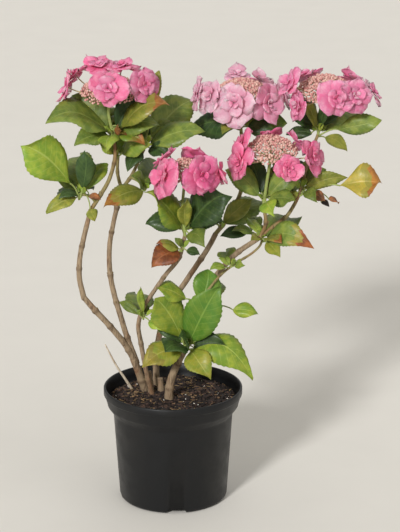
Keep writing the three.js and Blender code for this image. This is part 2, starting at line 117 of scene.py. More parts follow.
# A leaf is (azimuth, rise, knot to tip, width, bare stalk, tint, turn, form, arch): degrees, then
# millimetres. turn is how far the blade is rolled about its midrib, away from facing the light. A tint of
# two words has the second at the blade's tip. form, which may be left out, is above 1 for a blade that is
# broadest past its middle, and arch is how far mid blade rises, as a share of the blade.
SPRAYS = {
    "leaves_left_tip": ((-118, -17, 432), [
        (-141, 43, 117, 60, 26, "bright", 6, 1.5, 0.08), (-72, 74, 62, 27, 9, "dark", 10),
        (126, -8, 60, 30, 9, "dark", 40), (42, 40, 56, 28, 9, "lime", -24),
        (-162, -22, 54, 25, 9, "olive", 8, 1.0, 0.16), (95, 24, 84, 42, 9, "mid", 0),
        (2, -66, 40, 16, 22, "olive", 0), (-150, 4, 34, 16, 6, "dark", 20),
        (10, -18, 26, 9, 8, "withered", 30)]),
    "leaves_below_head_1": ((-77, -3, 512), [
        (-156, 19, 94, 62, 9, "mid", 22, 0.9, 0.16), (-150, -8, 58, 34, 9, "mid", 10),
        (165, 40, 74, 48, 9, "mid", -10), (46, 36, 70, 42, 9, "dark", 8),
        (-28, 32, 92, 48, 16, "olive bronze", -16, 1.1, 0.14), (104, 2, 96, 48, 9, "mid", 0),
        (-100, -12, 50, 28, 9, "young", 12), (-30, -6, 48, 28, 9, "lime bronze", -20),
        (-16, 14, 62, 36, 9, "mid", 18), (-70, 20, 30, 14, 5, "withered", 40),
        (-44, 4, 26, 11, 8, "ochre brown", -30), (20, 58, 58, 30, 9, "dark", 14)]),
    "leaves_young_pair": ((-72, 8, 478), [
        (-135, 38, 46, 26, 9, "young", 10), (-35, 28, 56, 32, 9, "young", -14),
        (95, 18, 60, 28, 9, "bright", 0)]),
    "leaves_upper_middle": ((-37, 15, 490), [
        (42, 30, 102, 52, 16, "mid", 14), (-9, 18, 84, 44, 9, "mid", -18), (30, 2, 60, 30, 9, "dark", 0),
        (-4, 78, 103, 20, 46, "olive", 16), (-40, -10, 44, 24, 9, "dark", 12),
        (-130, -38, 44, 26, 9, "dark", 16), (98, 6, 98, 46, 9, "mid", 0), (150, 46, 60, 40, 9, "dark", 0),
        (130, -14, 70, 34, 9, "mid", 0)]),
    "leaves_inner_fork": ((-36, 9, 432), [
        (-146, -12, 66, 36, 4, "olive bronze", 8), (75, 8, 84, 40, 9, "mid", 0),
        (-118, 40, 40, 26, 6, "mid", 14)]),
    "leaves_below_head_4": ((17, -46, 391), [
        (-145, 49, 80, 52, 9, "lime", 16, 0.9, 0.1), (-84, 56, 55, 20, 9, "olive", 30),
        (-27, 43, 82, 58, 9, "dark", -10, 1.1, 0.14), (78, 10, 84, 42, 9, "mid", 0),
        (-178, 14, 52, 28, 9, "dark", 14), (-60, -8, 48, 26, 9, "mid", 0),
        (-10, 16, 54, 30, 9, "dark", -14)]),
    "leaf_brown_folded": ((14, -50, 366), [
        (-150, -14, 48, 36, 5, "brown", 12), (-160, 20, 38, 24, 5, "olive brown", 34),
        (-8, -14, 24, 14, 5, "dark", 0)]),
    "leaves_mid_back": ((63, 48, 369), [
        (-22, 44, 62, 26, 9, "olive", 34), (112, 18, 98, 46, 9, "mid", 0), (40, 16, 84, 40, 9, "mid", 0),
        (170, 24, 56, 28, 9, "dark", 0)]),
    "leaves_below_head_2": ((92, 54, 508), [
        (-164, 32, 50, 28, 9, "mid", 20), (-119, 4, 52, 26, 9, "olive", 24),
        (-18, -4, 46, 26, 9, "dark", 20), (82, 0, 100, 48, 9, "mid", 0), (150, -12, 84, 42, 9, "dark", 0),
        (30, -6, 70, 36, 9, "mid", 0)]),
    "leaves_below_head_5": ((121, -12, 424), [
        (122, 58, 58, 28, 9, "dark", 20), (-172, 39, 66, 32, 9, "mid", -22),
        (-8, 36, 62, 32, 9, "mid", 14), (58, 10, 98, 46, 9, "mid", 0), (-75, -10, 46, 26, 9, "bright", 0),
        (-40, 8, 50, 26, 9, "mid", 18)]),
    "leaves_bronze": ((121, -9, 370), [
        (-33, 0, 74, 35, 6, "mid brown", 8, 1.0, 0.2), (-62, -18, 46, 20, 9, "yellowing", 14),
        (-58, 10, 42, 22, 6, "olive bronze", -22), (-120, 10, 34, 14, 9, "olive", 10),
        (118, 22, 46, 18, 9, "young", 20), (55, 2, 92, 42, 9, "mid", 0)]),
    "leaves_right_tip": ((172, -6, 436), [
        (-8, 16, 62, 22, 4, "olive", 44), (-14, 9.5, 105, 52, 50, "ochre bronze", 14, 2.0, 0.04),
        (44, 22, 50, 30, 9, "mid", 0), (-20, -22, 34, 15, 14, "withered", 20),
        (4, -34, 44, 8, 30, "black", 30), (-164, -30, 34, 15, 6, "olive", 0),
        (8, -22, 54, 15, 38, "withered", -30), (30, -16, 36, 9, 24, "black", -20),
        (-60, -12, 36, 18, 6, "mid", 14), (72, 30, 56, 26, 9, "mid", 0)]),
    "leaves_below_head_3": ((195, 38, 502), [
        (-14, 14, 86, 28, 26, "mid", 34, 1.2, 0.03), (24, -34, 52, 19, 12, "olive", 40),
        (-150, 60, 50, 20, 9, "olive", 30), (-75, 66, 48, 16, 9, "dark", -40),
        (48, 10, 96, 44, 9, "mid", 0), (120, 16, 76, 36, 9, "dark", 0), (170, -4, 44, 20, 9, "dark", 0)]),
    "leaves_low_shoot": ((20, -32, 226), [
        (-34, 62, 102, 50, 9, "grass", 6, 0.9, 0.08), (-162, 58, 84, 50, 16, "lime", 14, 1.2),
        (-16, -20, 98, 50, 9, "lime", -12, 1.0, 0.26), (146, -34, 50, 32, 9, "dark", 0),
        (-152, -14, 70, 42, 9, "yellowing ochre", 10), (-60, -26, 60, 36, 9, "yellowing", 4, 1.3),
        (98, 6, 92, 44, 9, "mid", 0), (30, -22, 44, 18, 9, "dark", 24), (-125, 8, 52, 40, 7, "dark", 18),
        (160, 30, 58, 34, 9, "dark", 20), (-100, 35, 48, 32, 6, "dark", -24),
        (-20, 8, 54, 28, 9, "dark", 20)]),
    "leaves_right_stem": ((38, -16, 278), [
        (-161, 28, 69, 34, 24, "lime", 20, 1.2), (-14, -4, 78, 22, 44, "lime", 10),
        (58, 66, 50, 38, 4, "grass", 20), (76, 8, 88, 42, 9, "mid", 0)]),
    "leaves_front_stem": ((-38, -26, 264), [
        (150, 22, 42, 14, 9, "mid", 0), (-100, 66, 54, 10, 9, "young", 10), (100, 8, 84, 38, 9, "mid", 0),
        (-40, -16, 36, 18, 9, "bright", 0)]),
    "leaves_side_shoot": ((78, -12, 331), [
        (-150, 2, 32, 14, 9, "young", 0), (-52, 20, 28, 13, 9, "young", 0),
        (96, 6, 60, 26, 9, "bright", 0)]),
}

# A floret is (azimuth, distance out, height above the head's foot, diameter, rise of its face). A sixth
# number is the azimuth of its face, where it looks another way. A head ends with its two sepal tints.
HEADS = {
    "flower_head_1": ((-81, 0, 566), 46, [
        (-91, 46, 14, 47, 20), (-173, 62, 9, 46, 10, 176), (118, 40, 30, 44, 72, -105),
        (62, 36, 31, 50, 72, -75), (-24, 57, 14, 50, 16, -52), (160, 54, 20, 34, 40),
        (12, 60, 10, 38, 16)], "pink", "rose"),
    "flower_head_2": ((93, 60, 548), 48, [
        (-104, 54, 1, 56, 12), (-144, 58, 6, 50, 14), (-176, 67, 3, 40, 10), (-50, 58, -1, 50, 12),
        (98, 44, 22, 38, 74, -80), (55, 54, 12, 38, 54), (8, 62, 2, 42, 20)], "blush", "shell"),
    "flower_head_3": ((203, 38, 558), 46, [
        (-160, 58, 17, 44, 24), (-142, 56, -10, 42, 0), (-75, 50, 0, 48, 10), (-42, 56, 3, 42, 14, -66),
        (0, 70, 0, 44, 40), (38, 54, 12, 42, 44), (118, 52, 14, 40, 44)], "pink", "blush"),
    "flower_head_4": ((18, -52, 468), 34, [
        (-143, 43, 4, 54, 14, -150), (-54, 44, 7, 56, 12), (160, 38, 18, 40, 44), (60, 38, 16, 40, 40),
        (-4, 50, 6, 38, 14)], "rose", "cerise"),
    "flower_head_5": ((130, -13, 488), 42, [
        (-168, 46, 17, 36, 30), (-148, 56, -6, 48, 10), (92, 46, 14, 38, 50), (26, 44, 12, 38, 40),
        (-3, 60, -4, 48, 8, -40), (-58, 48, -12, 37, 4)], "rose", "pink"),
}

# sRGB tints of the two faces of a leaf: its upper side, the mottling on it, its veins, and its underside.
LEAF_TINTS = {
    "bright": ("93A23A", "73902F", "B2BF68", "A2B06A"),
    "grass": ("66842E", "527A29", "93AD52", "8AA258"),
    "mid": ("758136", "586B2C", "939F56", "8D9B5E"),
    "dark": ("3D5126", "2A3F1E", "617A40", "6F8250"),
    "olive": ("8F8D38", "70772C", "B0AC60", "A3A261"),
    "lime": ("87922F", "657E27", "A9B45C", "99A65E"),
    "yellowing": ("999636", "7C8A30", "BDBB6C", "A6A75C"),
    "young": ("8F9C3D", "738A32", "B6BF72", "A2AE62"),
    "ochre": ("A6923A", "8B8434", "C6B66E", "AA9C58"),
    "bronze": ("A3702F", "86522A", "C0935A", "987244"),
    "brown": ("95552F", "683A23", "AC754A", "80563A"),
    "withered": ("A4683C", "64402A", "B98A5C", "7A5238"),
    "black": ("2E2520", "171311", "3E342C", "241D1A"),
    "turning": ("8E8138", "7F7A33", "A79C58", "8E8549"),
}
# Shares of a blade's length where it turns yellow, and where its autumn tint starts.
TINT_BORDERS = (0.6, 0.76)
SEPAL_TINTS = {
    "blush": ("D992A8", "EBC2CC"),
    "shell": ("DC86A2", "EDB3C3"),
    "pink": ("DB6E93", "EBA5BA"),
    "rose": ("E06289", "EE97AE"),
    "cerise": ("DA5785", "EA8DA8"),
}

# Leaf masses whose material slot isn't leaf_green.
LEAF_SLOTS = {
    "leaf_brown_folded": "leaf_bronze", "leaves_bronze": "leaf_bronze",
    "leaves_young_pair": "leaf_young", "leaves_side_shoot": "leaf_young",
}

VEIN_PAIRS = 8.5  # pairs of side veins on a leaf
CELL_MARGIN = 0.06  # bare margin round a cell of the bake map, as a share of the cell
MERGE = 1e-6  # points closer than this are one


def linear(code):
    """A linear colour from an sRGB hex code."""
    parts = [int(code[i:i + 2], 16) / 255 for i in (0, 2, 4)]
    return tuple(c / 12.92 if c <= 0.04045 else ((c + 0.055) / 1.055) ** 2.4 for c in parts)


def direction(azimuth, rise):
    """The direction at an azimuth, in degrees from +X towards +Y, and a rise above level."""
    flat = math.cos(math.radians(rise))
    turn = math.radians(azimuth)
    return Vector((flat * math.cos(turn), flat * math.sin(turn), math.sin(math.radians(rise))))


LIGHT = direction(-95, 38)  # where the leaves turn their faces


# ---- Settings ----

def length(name, description, default, low=0.0):
    return bpy.props.FloatProperty(
        name=name, description=description, default=default, min=low, subtype="DISTANCE", unit="LENGTH")


def whole(name, description, default, low=0):
    return bpy.props.IntProperty(name=name, description=description, default=default, min=low)


def amount(name, description, default):
    return bpy.props.FloatProperty(name=name, description=description, default=default)


def colour(name, description, code):
    return bpy.props.FloatVectorProperty(
        name=name, description=description, default=linear(code), size=3, min=0, max=1, subtype="COLOR")


class PotSettings(bpy.types.PropertyGroup):
    rim_radius: length("Rim radius", "Outer radius of the lip", POT_HIGH.x)
    height: length("Height", "Height of the pot", POT_HIGH.z)
    wall: length("Wall", "Thickness of the moulded wall", 1.6 * MM)
    notch_width: length("Notch width", "Width of a drainage notch in the foot", 28 * MM)
    notch_height: length("Notch height", "Height of a drainage notch", 6.4 * MM)
    sides: whole("Sides", "Steps round the pot", 144, 24)
    plastic: colour("Plastic", "Black polypropylene", "0D0E10")
    dust: colour("Dust", "Dried splash marks on the plastic", "24221F")


class CompostSettings(bpy.types.PropertyGroup):
    edge: length("Edge", "Height of the compost at the wall", 139 * MM)
    middle: length("Middle", "Height of the compost's mound", 147 * MM)
    chips: whole("Chips", "Bark chips on the surface", 1600)
    clods: whole("Clods", "Large pieces among the chips", 130)
    fibres: whole("Fibres", "Pale fibres on the surface", 150)
    grains: whole("Grains", "White perlite grains", 46)
    peat: colour("Peat", "Damp peat", "110C0A")
    crumb: colour("Crumb", "Dry crumbs of peat", "30221B")


class StemSettings(bpy.types.PropertyGroup):
    sides: whole("Sides", "Steps round a stem", 20, 6)
    ring: length("Ring", "Distance between two rings of a stem's mesh", 2.2 * MM, 0.0005)
    node_gap: length("Node gap", "Usual distance between two leaf scars", 46 * MM, 0.01)
    swelling: amount("Swelling", "How far a node swells, as a share of the radius", 0.22)
    bark: colour("Bark", "Papery tan bark", "958167")
    # Dark bark is also the colour of the painted shade at a stem's foot.
    bark_dark: colour("Dark bark", "Weathered streaks and leaf scars", "54402D")
    rust: colour("Rust bark", "Reddish patches where the bark has peeled", "8C5F3F")
    young_bark: colour("Young bark", "Bark of this year's boughs", "8C8050")
    green: colour("Green stalk", "Flower stalks and leaf stalks", "8F9E56")
    dry: colour("Dry wood", "Dead stub, bleached", "CDBFA9")


class LeafSettings(bpy.types.PropertyGroup):
    thickness: length("Thickness", "Thickness of a blade", 0.55 * MM)
    fold: amount("Fold", "How far the halves rise from the midrib, as a share of the width", 0.2)
    arch: amount("Arch", "How far mid blade rises, as a share of the blade", 0.12)
    teeth: amount("Teeth", "Depth of the teeth on the edge, as a share of the half width", 0.026)
    stalk: length("Stalk", "Diameter of a leaf stalk", 2.6 * MM)
    seed: whole("Seed", "Seed of the small leaves and the waves", 11)


class FlowerSettings(bpy.types.PropertyGroup):
    bud: length("Bud", "Diameter of a fertile bud", 3.5 * MM)
    buds: whole("Buds", "Fertile buds in the largest head", 600, 10)
    dome: length("Dome", "Height of the dome of buds", 18 * MM)
    seed: whole("Seed", "Seed of the sepals and the buds", 5)
    bud_pink: colour("Bud pink", "Fertile buds", "C2847F")
    bud_cream: colour("Bud cream", "The palest buds", "DCB6A7")


class StageSettings(bpy.types.PropertyGroup):
    floor: colour("Floor", "Pale floor", "DCD8D0")
    surround: colour("Surround", "Light from all round", "EFEDE8")
    key: amount("Key", "Strength of the main light", 2.9)
    fill: amount("Fill", "Strength of the fill light", 0.45)
    back: amount("Back", "Strength of the light behind", 0.4)


# ---- Mesh helpers ----

class Shape:
    """A small closed mesh as arrays: its points, its faces and which of the faces look down."""

    def __init__(self, bm):
        bmesh.ops.recalc_face_normals(bm, faces=bm.faces[:])
        bm.verts.ensure_lookup_table()
        self.points = np.array([v.co for v in bm.verts])
        self.faces = np.array([[v.index for v in f.verts] for f in bm.faces])
        self.under = np.array([f.normal.z < -0.5 for f in bm.faces])
        bm.free()


def sheet_shape(rows, columns):
    """A thin closed sheet: x is 0 to 1 along it, y is -1 to 1 across it, and z is 1 above and 0 below."""
    bm = bmesh.new()
    bmesh.ops.create_grid(bm, x_segments=rows, y_segments=columns, size=0.5)
    bmesh.ops.solidify(bm, geom=bm.faces[:], thickness=0.05)
    shape = Shape(bm)
    low = shape.points[:, 2].min()
    shape.points[:, 0] += 0.5
    shape.points[:, 1] *= 2
    shape.points[:, 2] = (shape.points[:, 2] > low + 0.02).astype(float)
    return shape


def ball_shape(subdivisions):
    """A ball of radius 1."""
    bm = bmesh.new()
    bmesh.ops.create_icosphere(bm, subdivisions=subdivisions, radius=1)
    return Shape(bm)


def tube_shape(rings, sides):
    """A closed tube: x is 0 to 1 along it, and y is the angle round it. The end rings shrink to a point."""
    bm = bmesh.new()
    bmesh.ops.create_grid(bm, x_segments=rings, y_segments=sides, size=0.5)
    shape = Shape(bm)
    shape.points[:, 0] += 0.5
    shape.points[:, 1] = (shape.points[:, 1] + 0.5) * 2 * math.pi
    return shape


class Heap:
    """Many small shapes, gathered into one mesh with a material for each face."""

    def __init__(self):
        self.points = []
        self.faces = []
        self.slots = []
        self.charts = []
        self.shades = []
        self.under = []
        self.materials = []
        self.count = 0

    def slot(self, material):
        if material not in self.materials:
            self.materials.append(material)
        return self.materials.index(material)

    def add(self, shape, points, material, below=None, chart=None, shade=0.0, later=()):
        """Adds a copy of the shape with its points moved. below is the material of its underside.

        later has pairs of materials further along it, each with the share of the length where it starts.
        """
        slots = np.full(len(shape.faces), self.slot(material))
        if below is not None:
            slots[shape.under] = self.slot(below)
        for share, (face, back) in later:
            beyond = shape.points[shape.faces, 0].mean(axis=1) > share
            slots[beyond] = self.slot(face)
            slots[beyond & shape.under] = self.slot(back)
        self.points.append(points)
        self.faces.append(shape.faces + self.count)
        self.slots.append(slots)
        self.under.append(shape.under)
        self.charts.append(np.zeros((len(points), 2)) if chart is None else chart)
        self.shades.append(np.broadcast_to(shade, len(points)))
        self.count += len(points)

    def build(self, name, weld=False):
        """Makes the mesh. weld closes the ends and seams of tubes."""
        mesh = bpy.data.meshes.new(name)
        faces = np.concatenate(self.faces)
        mesh.from_pydata(np.concatenate(self.points), [], faces, shade_flat=False)
        mesh.polygons.foreach_set("material_index", np.concatenate(self.slots).astype(np.int32))
        for material in self.materials:
            mesh.materials.append(material)
        shade = mesh.attributes.new("shade", "FLOAT", "POINT")
        shade.data.foreach_set("value", np.concatenate(self.shades).astype(np.float32))
        self.chart_maps(mesh, faces)
        if weld:
            bm = bmesh.new()
            bm.from_mesh(mesh)
            bmesh.ops.remove_doubles(bm, verts=bm.verts[:], dist=MERGE)
            bmesh.ops.recalc_face_normals(bm, faces=bm.faces[:])
            bm.to_mesh(mesh)
            bm.free()
        mesh.update()
        return place(bpy.data.objects.new(name, mesh))

    def chart_maps(self, mesh, faces):
        """In the blade map each copy runs from 0 to 1. In the bake map each side of it has its own cell."""
        if not any(chart.any() for chart in self.charts):
            return
        chart = np.concatenate(self.charts)[faces.reshape(-1)]
        mesh.uv_layers.new(name="blade").data.foreach_set("uv", chart.reshape(-1).astype(np.float32))
        copies = len(self.charts)
        across = math.ceil(math.sqrt(2 * copies))
        owner = np.repeat(np.arange(copies), [len(f) for f in self.faces])
        cell = np.repeat(2 * owner + np.concatenate(self.under), faces.shape[1])
        corner = np.stack([cell % across, cell // across], axis=1)
        spread = (corner + CELL_MARGIN + (1 - 2 * CELL_MARGIN) * chart) / across
        mesh.uv_layers.new(name="OFBake").data.foreach_set("uv", spread.reshape(-1).astype(np.float32))


def place(obj):
    bpy.context.scene.collection.objects.link(obj)
    return obj


def finish_piece(obj, slot, *nodes):
    """Ties a finished piece to the one body and hides the frame nodes it replaces. slot is not used."""
    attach(obj, "root")
    if nodes:
        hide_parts(*nodes)
    return obj


def object_from(bm, name, material, smooth_angle=40):
    """An object from a mesh in the making, smooth but for its edges sharper than smooth_angle."""
    mesh = bpy.data.meshes.new(name)
    for face in bm.faces:
        face.smooth = True
    for edge in bm.edges:
        edge.smooth = edge.calc_face_angle(0) < math.radians(smooth_angle)
    bm.to_mesh(mesh)
    bm.free()
    mesh.materials.append(material)
    return place(bpy.data.objects.new(name, mesh))


def smooth_path(route, step):
    """Points along a smooth curve through the route, about step apart, as the frame's limbs have it."""
    knots = [np.array(p, float) * MM for p in route]
    knots = [2 * knots[0] - knots[1], *knots, 2 * knots[-1] - knots[-2]]
    points = []
    for p0, p1, p2, p3 in zip(knots, knots[1:], knots[2:], knots[3:]):
        d0, d1, d2 = (math.sqrt(np.linalg.norm(b - a)) for a, b in ((p0, p1), (p1, p2), (p2, p3)))
        m1 = ((p1 - p0) / d0 - (p2 - p0) / (d0 + d1) + (p2 - p1) / d1) * d1
        m2 = ((p2 - p1) / d1 - (p3 - p1) / (d1 + d2) + (p3 - p2) / d2) * d1
        count = max(1, round(np.linalg.norm(p2 - p1) / step))
        for t in np.arange(count) / count:
            points.append(
                (2 * t ** 3 - 3 * t ** 2 + 1) * p1 + (t ** 3 - 2 * t ** 2 + t) * m1
                + (3 * t ** 2 - 2 * t ** 3) * p2 + (t ** 3 - t ** 2) * m2)
    return np.array([*points, knots[-2]])


def path_frames(path):
    """Directions along a path, with two directions square to it that turn as little as they can."""
    along = np.gradient(path, axis=0)
    along /= np.linalg.norm(along, axis=1, keepdims=True)
    side = np.cross(along[0], [0.0, 1.0, 0.1])
    sides = []
    for way in along:
        side = side - way * np.dot(side, way)
        side = side / np.linalg.norm(side)
        sides.append(side)
    sides = np.array(sides)
    return along, sides, np.cross(along, sides)


def add_tube(heap, path, radii, sides, material, shade=0.0, relief=None):
    """Sweeps a round section along a path. radii has one number a ring, and relief scales each point."""
    def capped(part):
        return np.concatenate([part[:1], part, part[-1:]])

    _, side, other = (capped(part) for part in path_frames(path))
    shades = capped(np.broadcast_to(shade, len(path)))
    radii = np.concatenate([[0], radii, [0]])
    path = capped(path)
    shape = tube_shape(len(path) - 1, sides)
    ring = np.round(shape.points[:, 0] * (len(path) - 1)).astype(int)
    angle = shape.points[:, 1]
    reach = radii[ring]
    if relief is not None:
        reach = reach * relief(path[ring], angle)
    spoke = np.cos(angle)[:, None] * side[ring] + np.sin(angle)[:, None] * other[ring]
    heap.add(shape, path[ring] + spoke * reach[:, None], material, shade=shades[ring])


def curve_through(start, middle, end, count):
    """A short curve from start to end that heads for middle first."""
    t = np.linspace(0, 1, count)[:, None]
    return (1 - t) ** 2 * np.array(start) + 2 * t * (1 - t) * np.array(middle) + t ** 2 * np.array(end)


def add_stalk(heap, ends, count, thick, sides, material, shade=0.0):
    """A stalk curved towards the second of three ends. Its radius runs between the numbers of thick."""
    add_tube(heap, curve_through(*ends, count), np.linspace(*thick, count) * MM, sides, material, shade)


# ---- Materials ----

# The nodes in use, by a plain word: type, fixed settings, the inputs filled in order, and the output.
NODES = {
    "place": ("ShaderNodeTexCoord", {}, (), "Object"),
    "stretch": ("ShaderNodeMapping", {}, ("Vector", "Scale"), 0),
    "noise": ("ShaderNodeTexNoise", {}, ("Vector", "Scale", "Detail", "Roughness"), "Fac"),
    "ramp": ("ShaderNodeMapRange", {"interpolation_type": "SMOOTHSTEP"},
             ("Value", "From Min", "From Max", "To Min", "To Max"), 0),
    "mix": ("ShaderNodeMix", {"data_type": "RGBA"}, (0, 6, 7), 2),
    "tone": ("ShaderNodeHueSaturation", {}, ("Color", "Value"), 0),
    "bump": ("ShaderNodeBump", {}, ("Height", "Distance", "Strength"), 0),
    "blade": ("ShaderNodeUVMap", {"uv_map": "blade"}, (), 0),
    "split": ("ShaderNodeSeparateXYZ", {}, (0,), 0),
    "shade": ("ShaderNodeAttribute", {"attribute_name": "shade"}, (), "Fac"),
}


def rgba(value):
    """An opaque colour from a hex code or from three linear numbers."""
    return (*(linear(value) if isinstance(value, str) else value), 1)


class Skin:
    """A material in the making. finish is what is the same all over, set on the shader's own sockets."""

    def __init__(self, name, finish):
        self.material = bpy.data.materials.new(name)
        self.material.use_nodes = True
        self.tree = self.material.node_tree
        self.shader = self.tree.nodes["Principled BSDF"]
        for key, value in finish.items():
            self.shader.inputs[key].default_value = value

    def add(self, word, *inputs):
        """Adds the node that NODES has under a word, or a Math node that has the word as its operation.

        An input that is a socket is linked, and any other is set. Gives back the node's output.
        """
        kind, settings, keys, output = NODES.get(word, ("ShaderNodeMath", {"operation": word}, (0, 1), 0))
        new = self.tree.nodes.new(kind)
        for key, value in settings.items():
            setattr(new, key, value)
        for key, value in zip(keys, inputs):
            socket = new.inputs[key]
            if isinstance(value, bpy.types.NodeSocket):
                self.tree.links.new(value, socket)
            else:
                socket.default_value = rgba(value) if socket.type == "RGBA" else value
        return new.outputs[output]

    def grain(self, size_mm, detail=3, stretch=(1, 1, 1), roughness=0.55):
        """Lumps size_mm across, laid out on Object coordinates and drawn out by stretch."""
        place = self.add("stretch", self.add("place"), stretch)
        return self.add("noise", place, 1 / (size_mm * MM), detail, roughness)

    def toned(self, tint, low, high):
        """The tint, darker or lighter by the shade of each leaf or sepal."""
        return self.add("tone", tint, self.add("ramp", self.add("shade"), 0, 1, low, high))

    def dress(self, tint, relief, depth_mm, strength=1.0, roughness=None):
        """Wires the finished patterns to the shader, and gives back the material."""
        wires = {"Base Color": tint, "Normal": self.add("bump", relief, depth_mm * MM, strength)}
        if roughness is not None:
            wires["Roughness"] = roughness
        for key, socket in wires.items():
            self.tree.links.new(socket, self.shader.inputs[key])
        return self.material


def moulded_polypropylene(settings):
    """Black polypropylene, injection moulded: a satin skin with a faint orange peel and dried splashes."""
    skin = Skin("black_polypropylene", {"IOR": 1.49, "Specular IOR Level": 0.34})
    splash = skin.add("ramp", skin.grain(16, 5), 0.52, 0.72)
    speck = skin.add("ramp", skin.grain(2.2, 2), 0.6, 0.72)
    worn = skin.add("ramp", skin.grain(45, 4, (1, 1, 0.35)), 0.4, 0.75, 0.0, 0.25)
    marks = skin.add("MAXIMUM", skin.add("MULTIPLY", splash, speck), worn)
    tint = skin.add("mix", marks, settings.plastic, settings.dust)
    gloss = skin.add("ramp", skin.grain(22, 4), 0.3, 0.7, 0.36, 0.52)
    return skin.dress(tint, skin.grain(1.1, 2), 0.05, roughness=gloss)


def damp_peat(settings):
    """Peat compost, crumbled and damp: nearly black in the hollows, brown on the dry crumbs."""
    skin = Skin("damp_peat", {"IOR": 1.4, "Roughness": 0.95})
    tint = skin.add("mix", skin.add("ramp", skin.grain(3.2, 5), 0.4, 0.68), settings.peat, settings.crumb)
    return skin.dress(tint, skin.grain(2.4, 6, roughness=0.7), 1.2)


def litter(name, light, dark, size_mm):
    """Chips, fibres and grains in the compost: dry and matt, each mottled in two tones."""
    skin = Skin(name, {"Roughness": 0.9})
    tint = skin.add("mix", skin.add("ramp", skin.grain(size_mm, 3), 0.38, 0.64), dark, light)
    return skin.dress(tint, skin.grain(size_mm / 3, 3), 0.3)


def papery_bark(name, light, dark, rust, lenticels=0.5, roughness=0.82):
    """Thin shredding bark: lengthwise streaks, reddish peeled patches, corky spots and brown scars."""
    skin = Skin(name, {"Roughness": roughness, "IOR": 1.45})
    streaks = skin.grain(1.6, 4, (1, 1, 0.13))
    patches = skin.add("ramp", skin.grain(14, 3, (1, 1, 0.5)), 0.3, 0.62, 0.35, 1.0)
    weather = skin.add("MULTIPLY", skin.add("ramp", streaks, 0.42, 0.7), patches)
    spots = skin.add("ramp", skin.grain(1.5, 1, (1, 1, 0.6)), 0.68, 0.78, 0.0, lenticels)
    worn = skin.add("MAXIMUM", skin.add("MULTIPLY", weather, 0.95), spots)
    # The shade attribute darkens the leaf-scar rings at the nodes and adds painted shade at a stem's foot.
    wear_scars_and_shade = skin.add("MAXIMUM", worn, skin.add("shade"))
    peeled = skin.add("ramp", skin.grain(19, 4, (1, 1, 0.4)), 0.5, 0.72, 0.0, 0.75)
    tint = skin.add("mix", wear_scars_and_shade, skin.add("mix", peeled, light, rust), dark)
    return skin.dress(tint, skin.add("SUBTRACT", streaks, skin.add("MULTIPLY", spots, 0.5)), 0.6)


def green_stalk(name, light, dark):
    """Soft green stalk, ribbed along its length and speckled reddish brown, with a waxy skin."""
    skin = Skin(name, {"Roughness": 0.5, "IOR": 1.42})
    flecks = skin.add("ramp", skin.grain(1.3, 3, (1, 1, 0.3)), 0.5, 0.72, 0.0, 0.8)
    tint = skin.add("mix", skin.add("MAXIMUM", flecks, skin.add("shade")), light, dark)
    return skin.dress(tint, skin.grain(0.9, 2, (1, 1, 0.1)), 0.25)


def leaf_blade(name, face, mottle, vein, upper):
    """Living leaf, waxy above and matt below: veins arch from a pale midrib and the skin puffs between."""
    skin = Skin(name, {
        "IOR": 1.42, "Specular IOR Level": 0.4 if upper else 0.25, "Subsurface Weight": 0.12,
        "Subsurface Radius": (0.6, 1.0, 0.2), "Subsurface Scale": 2 * MM})
    along = skin.add("split", skin.add("blade"))
    offset = skin.add("SUBTRACT", along.node.outputs[1], 0.5)
    across = skin.add("ABSOLUTE", skin.add("MULTIPLY", offset, 2.0))
    lean = skin.add("MULTIPLY", skin.add("POWER", across, 0.8), 2.0)
    beat = skin.add("SUBTRACT", skin.add("MULTIPLY", along, VEIN_PAIRS), lean)
    ribs = skin.add("ramp", skin.add("PINGPONG", beat, 0.5), 0.0, 0.09, 0.5, 0.0)
    veins = skin.add("MAXIMUM", ribs, skin.add("ramp", across, 0.015, 0.07, 1.0, 0.0))
    mottled = skin.add("mix", skin.add("ramp", skin.grain(11, 4), 0.34, 0.64), face, mottle)
    tint = skin.add("mix", skin.add("MULTIPLY", veins, 0.45), mottled, vein)
    low, high = (0.34, 0.5) if upper else (0.6, 0.75)
    gloss = skin.add("ramp", skin.grain(6, 3), 0.3, 0.7, low, high)
    relief = skin.add("SUBTRACT" if upper else "ADD", skin.add("MULTIPLY", skin.grain(1.4, 2), 0.35), veins)
    return skin.dress(skin.toned(tint, 0.82, 1.14), relief, 0.4, 0.7, gloss)


def sepal(name, base, rim):
    """Thin silky sepal: fine veins fan out from its foot, and its colour pales towards the rim."""
    skin = Skin(name, {
        "Roughness": 0.55, "IOR": 1.4, "Specular IOR Level": 0.3, "Subsurface Weight": 0.5,
        "Subsurface Radius": (1.0, 0.5, 0.6), "Subsurface Scale": 5 * MM})
    along = skin.add("split", skin.add("blade"))
    beat = skin.add("PINGPONG", skin.add("MULTIPLY", along.node.outputs[1], 9.0), 0.5)
    veins = skin.add("ramp", beat, 0.0, 0.2, 0.35, 0.0)
    outer = skin.add("ramp", along, 0.25, 1.0)
    pale = skin.add("MULTIPLY", outer, skin.add("ramp", skin.grain(9, 3), 0.3, 0.7))
    tint = skin.add("mix", veins, skin.add("mix", pale, base, rim), base)
    return skin.dress(skin.toned(tint, 0.92, 1.08), skin.add("ADD", skin.grain(2.2, 2), veins), 0.3, 0.7)


def fertile_bud(settings):
    """Closed fertile buds, smooth and waxy: beige pink, some creamier than others."""
    skin = Skin("fertile_bud", {"Roughness": 0.6, "IOR": 1.4})
    spots = skin.add("ramp", skin.grain(4.5, 2), 0.4, 0.62)
    tint = skin.add("mix", spots, settings.bud_pink, settings.bud_cream)
    return skin.dress(tint, skin.grain(0.9, 1), 0.2)


def plain_floor(settings):
    """Pale painted board under the pot: matt, with a trace of roller texture."""
    skin = Skin("pale_board", {"Roughness": 0.85})
    tint = skin.add("mix", skin.grain(120, 3), settings.floor, [0.94 * c for c in settings.floor])
    return skin.dress(tint, skin.grain(3, 2), 0.1)


# ---- Pot and compost ----

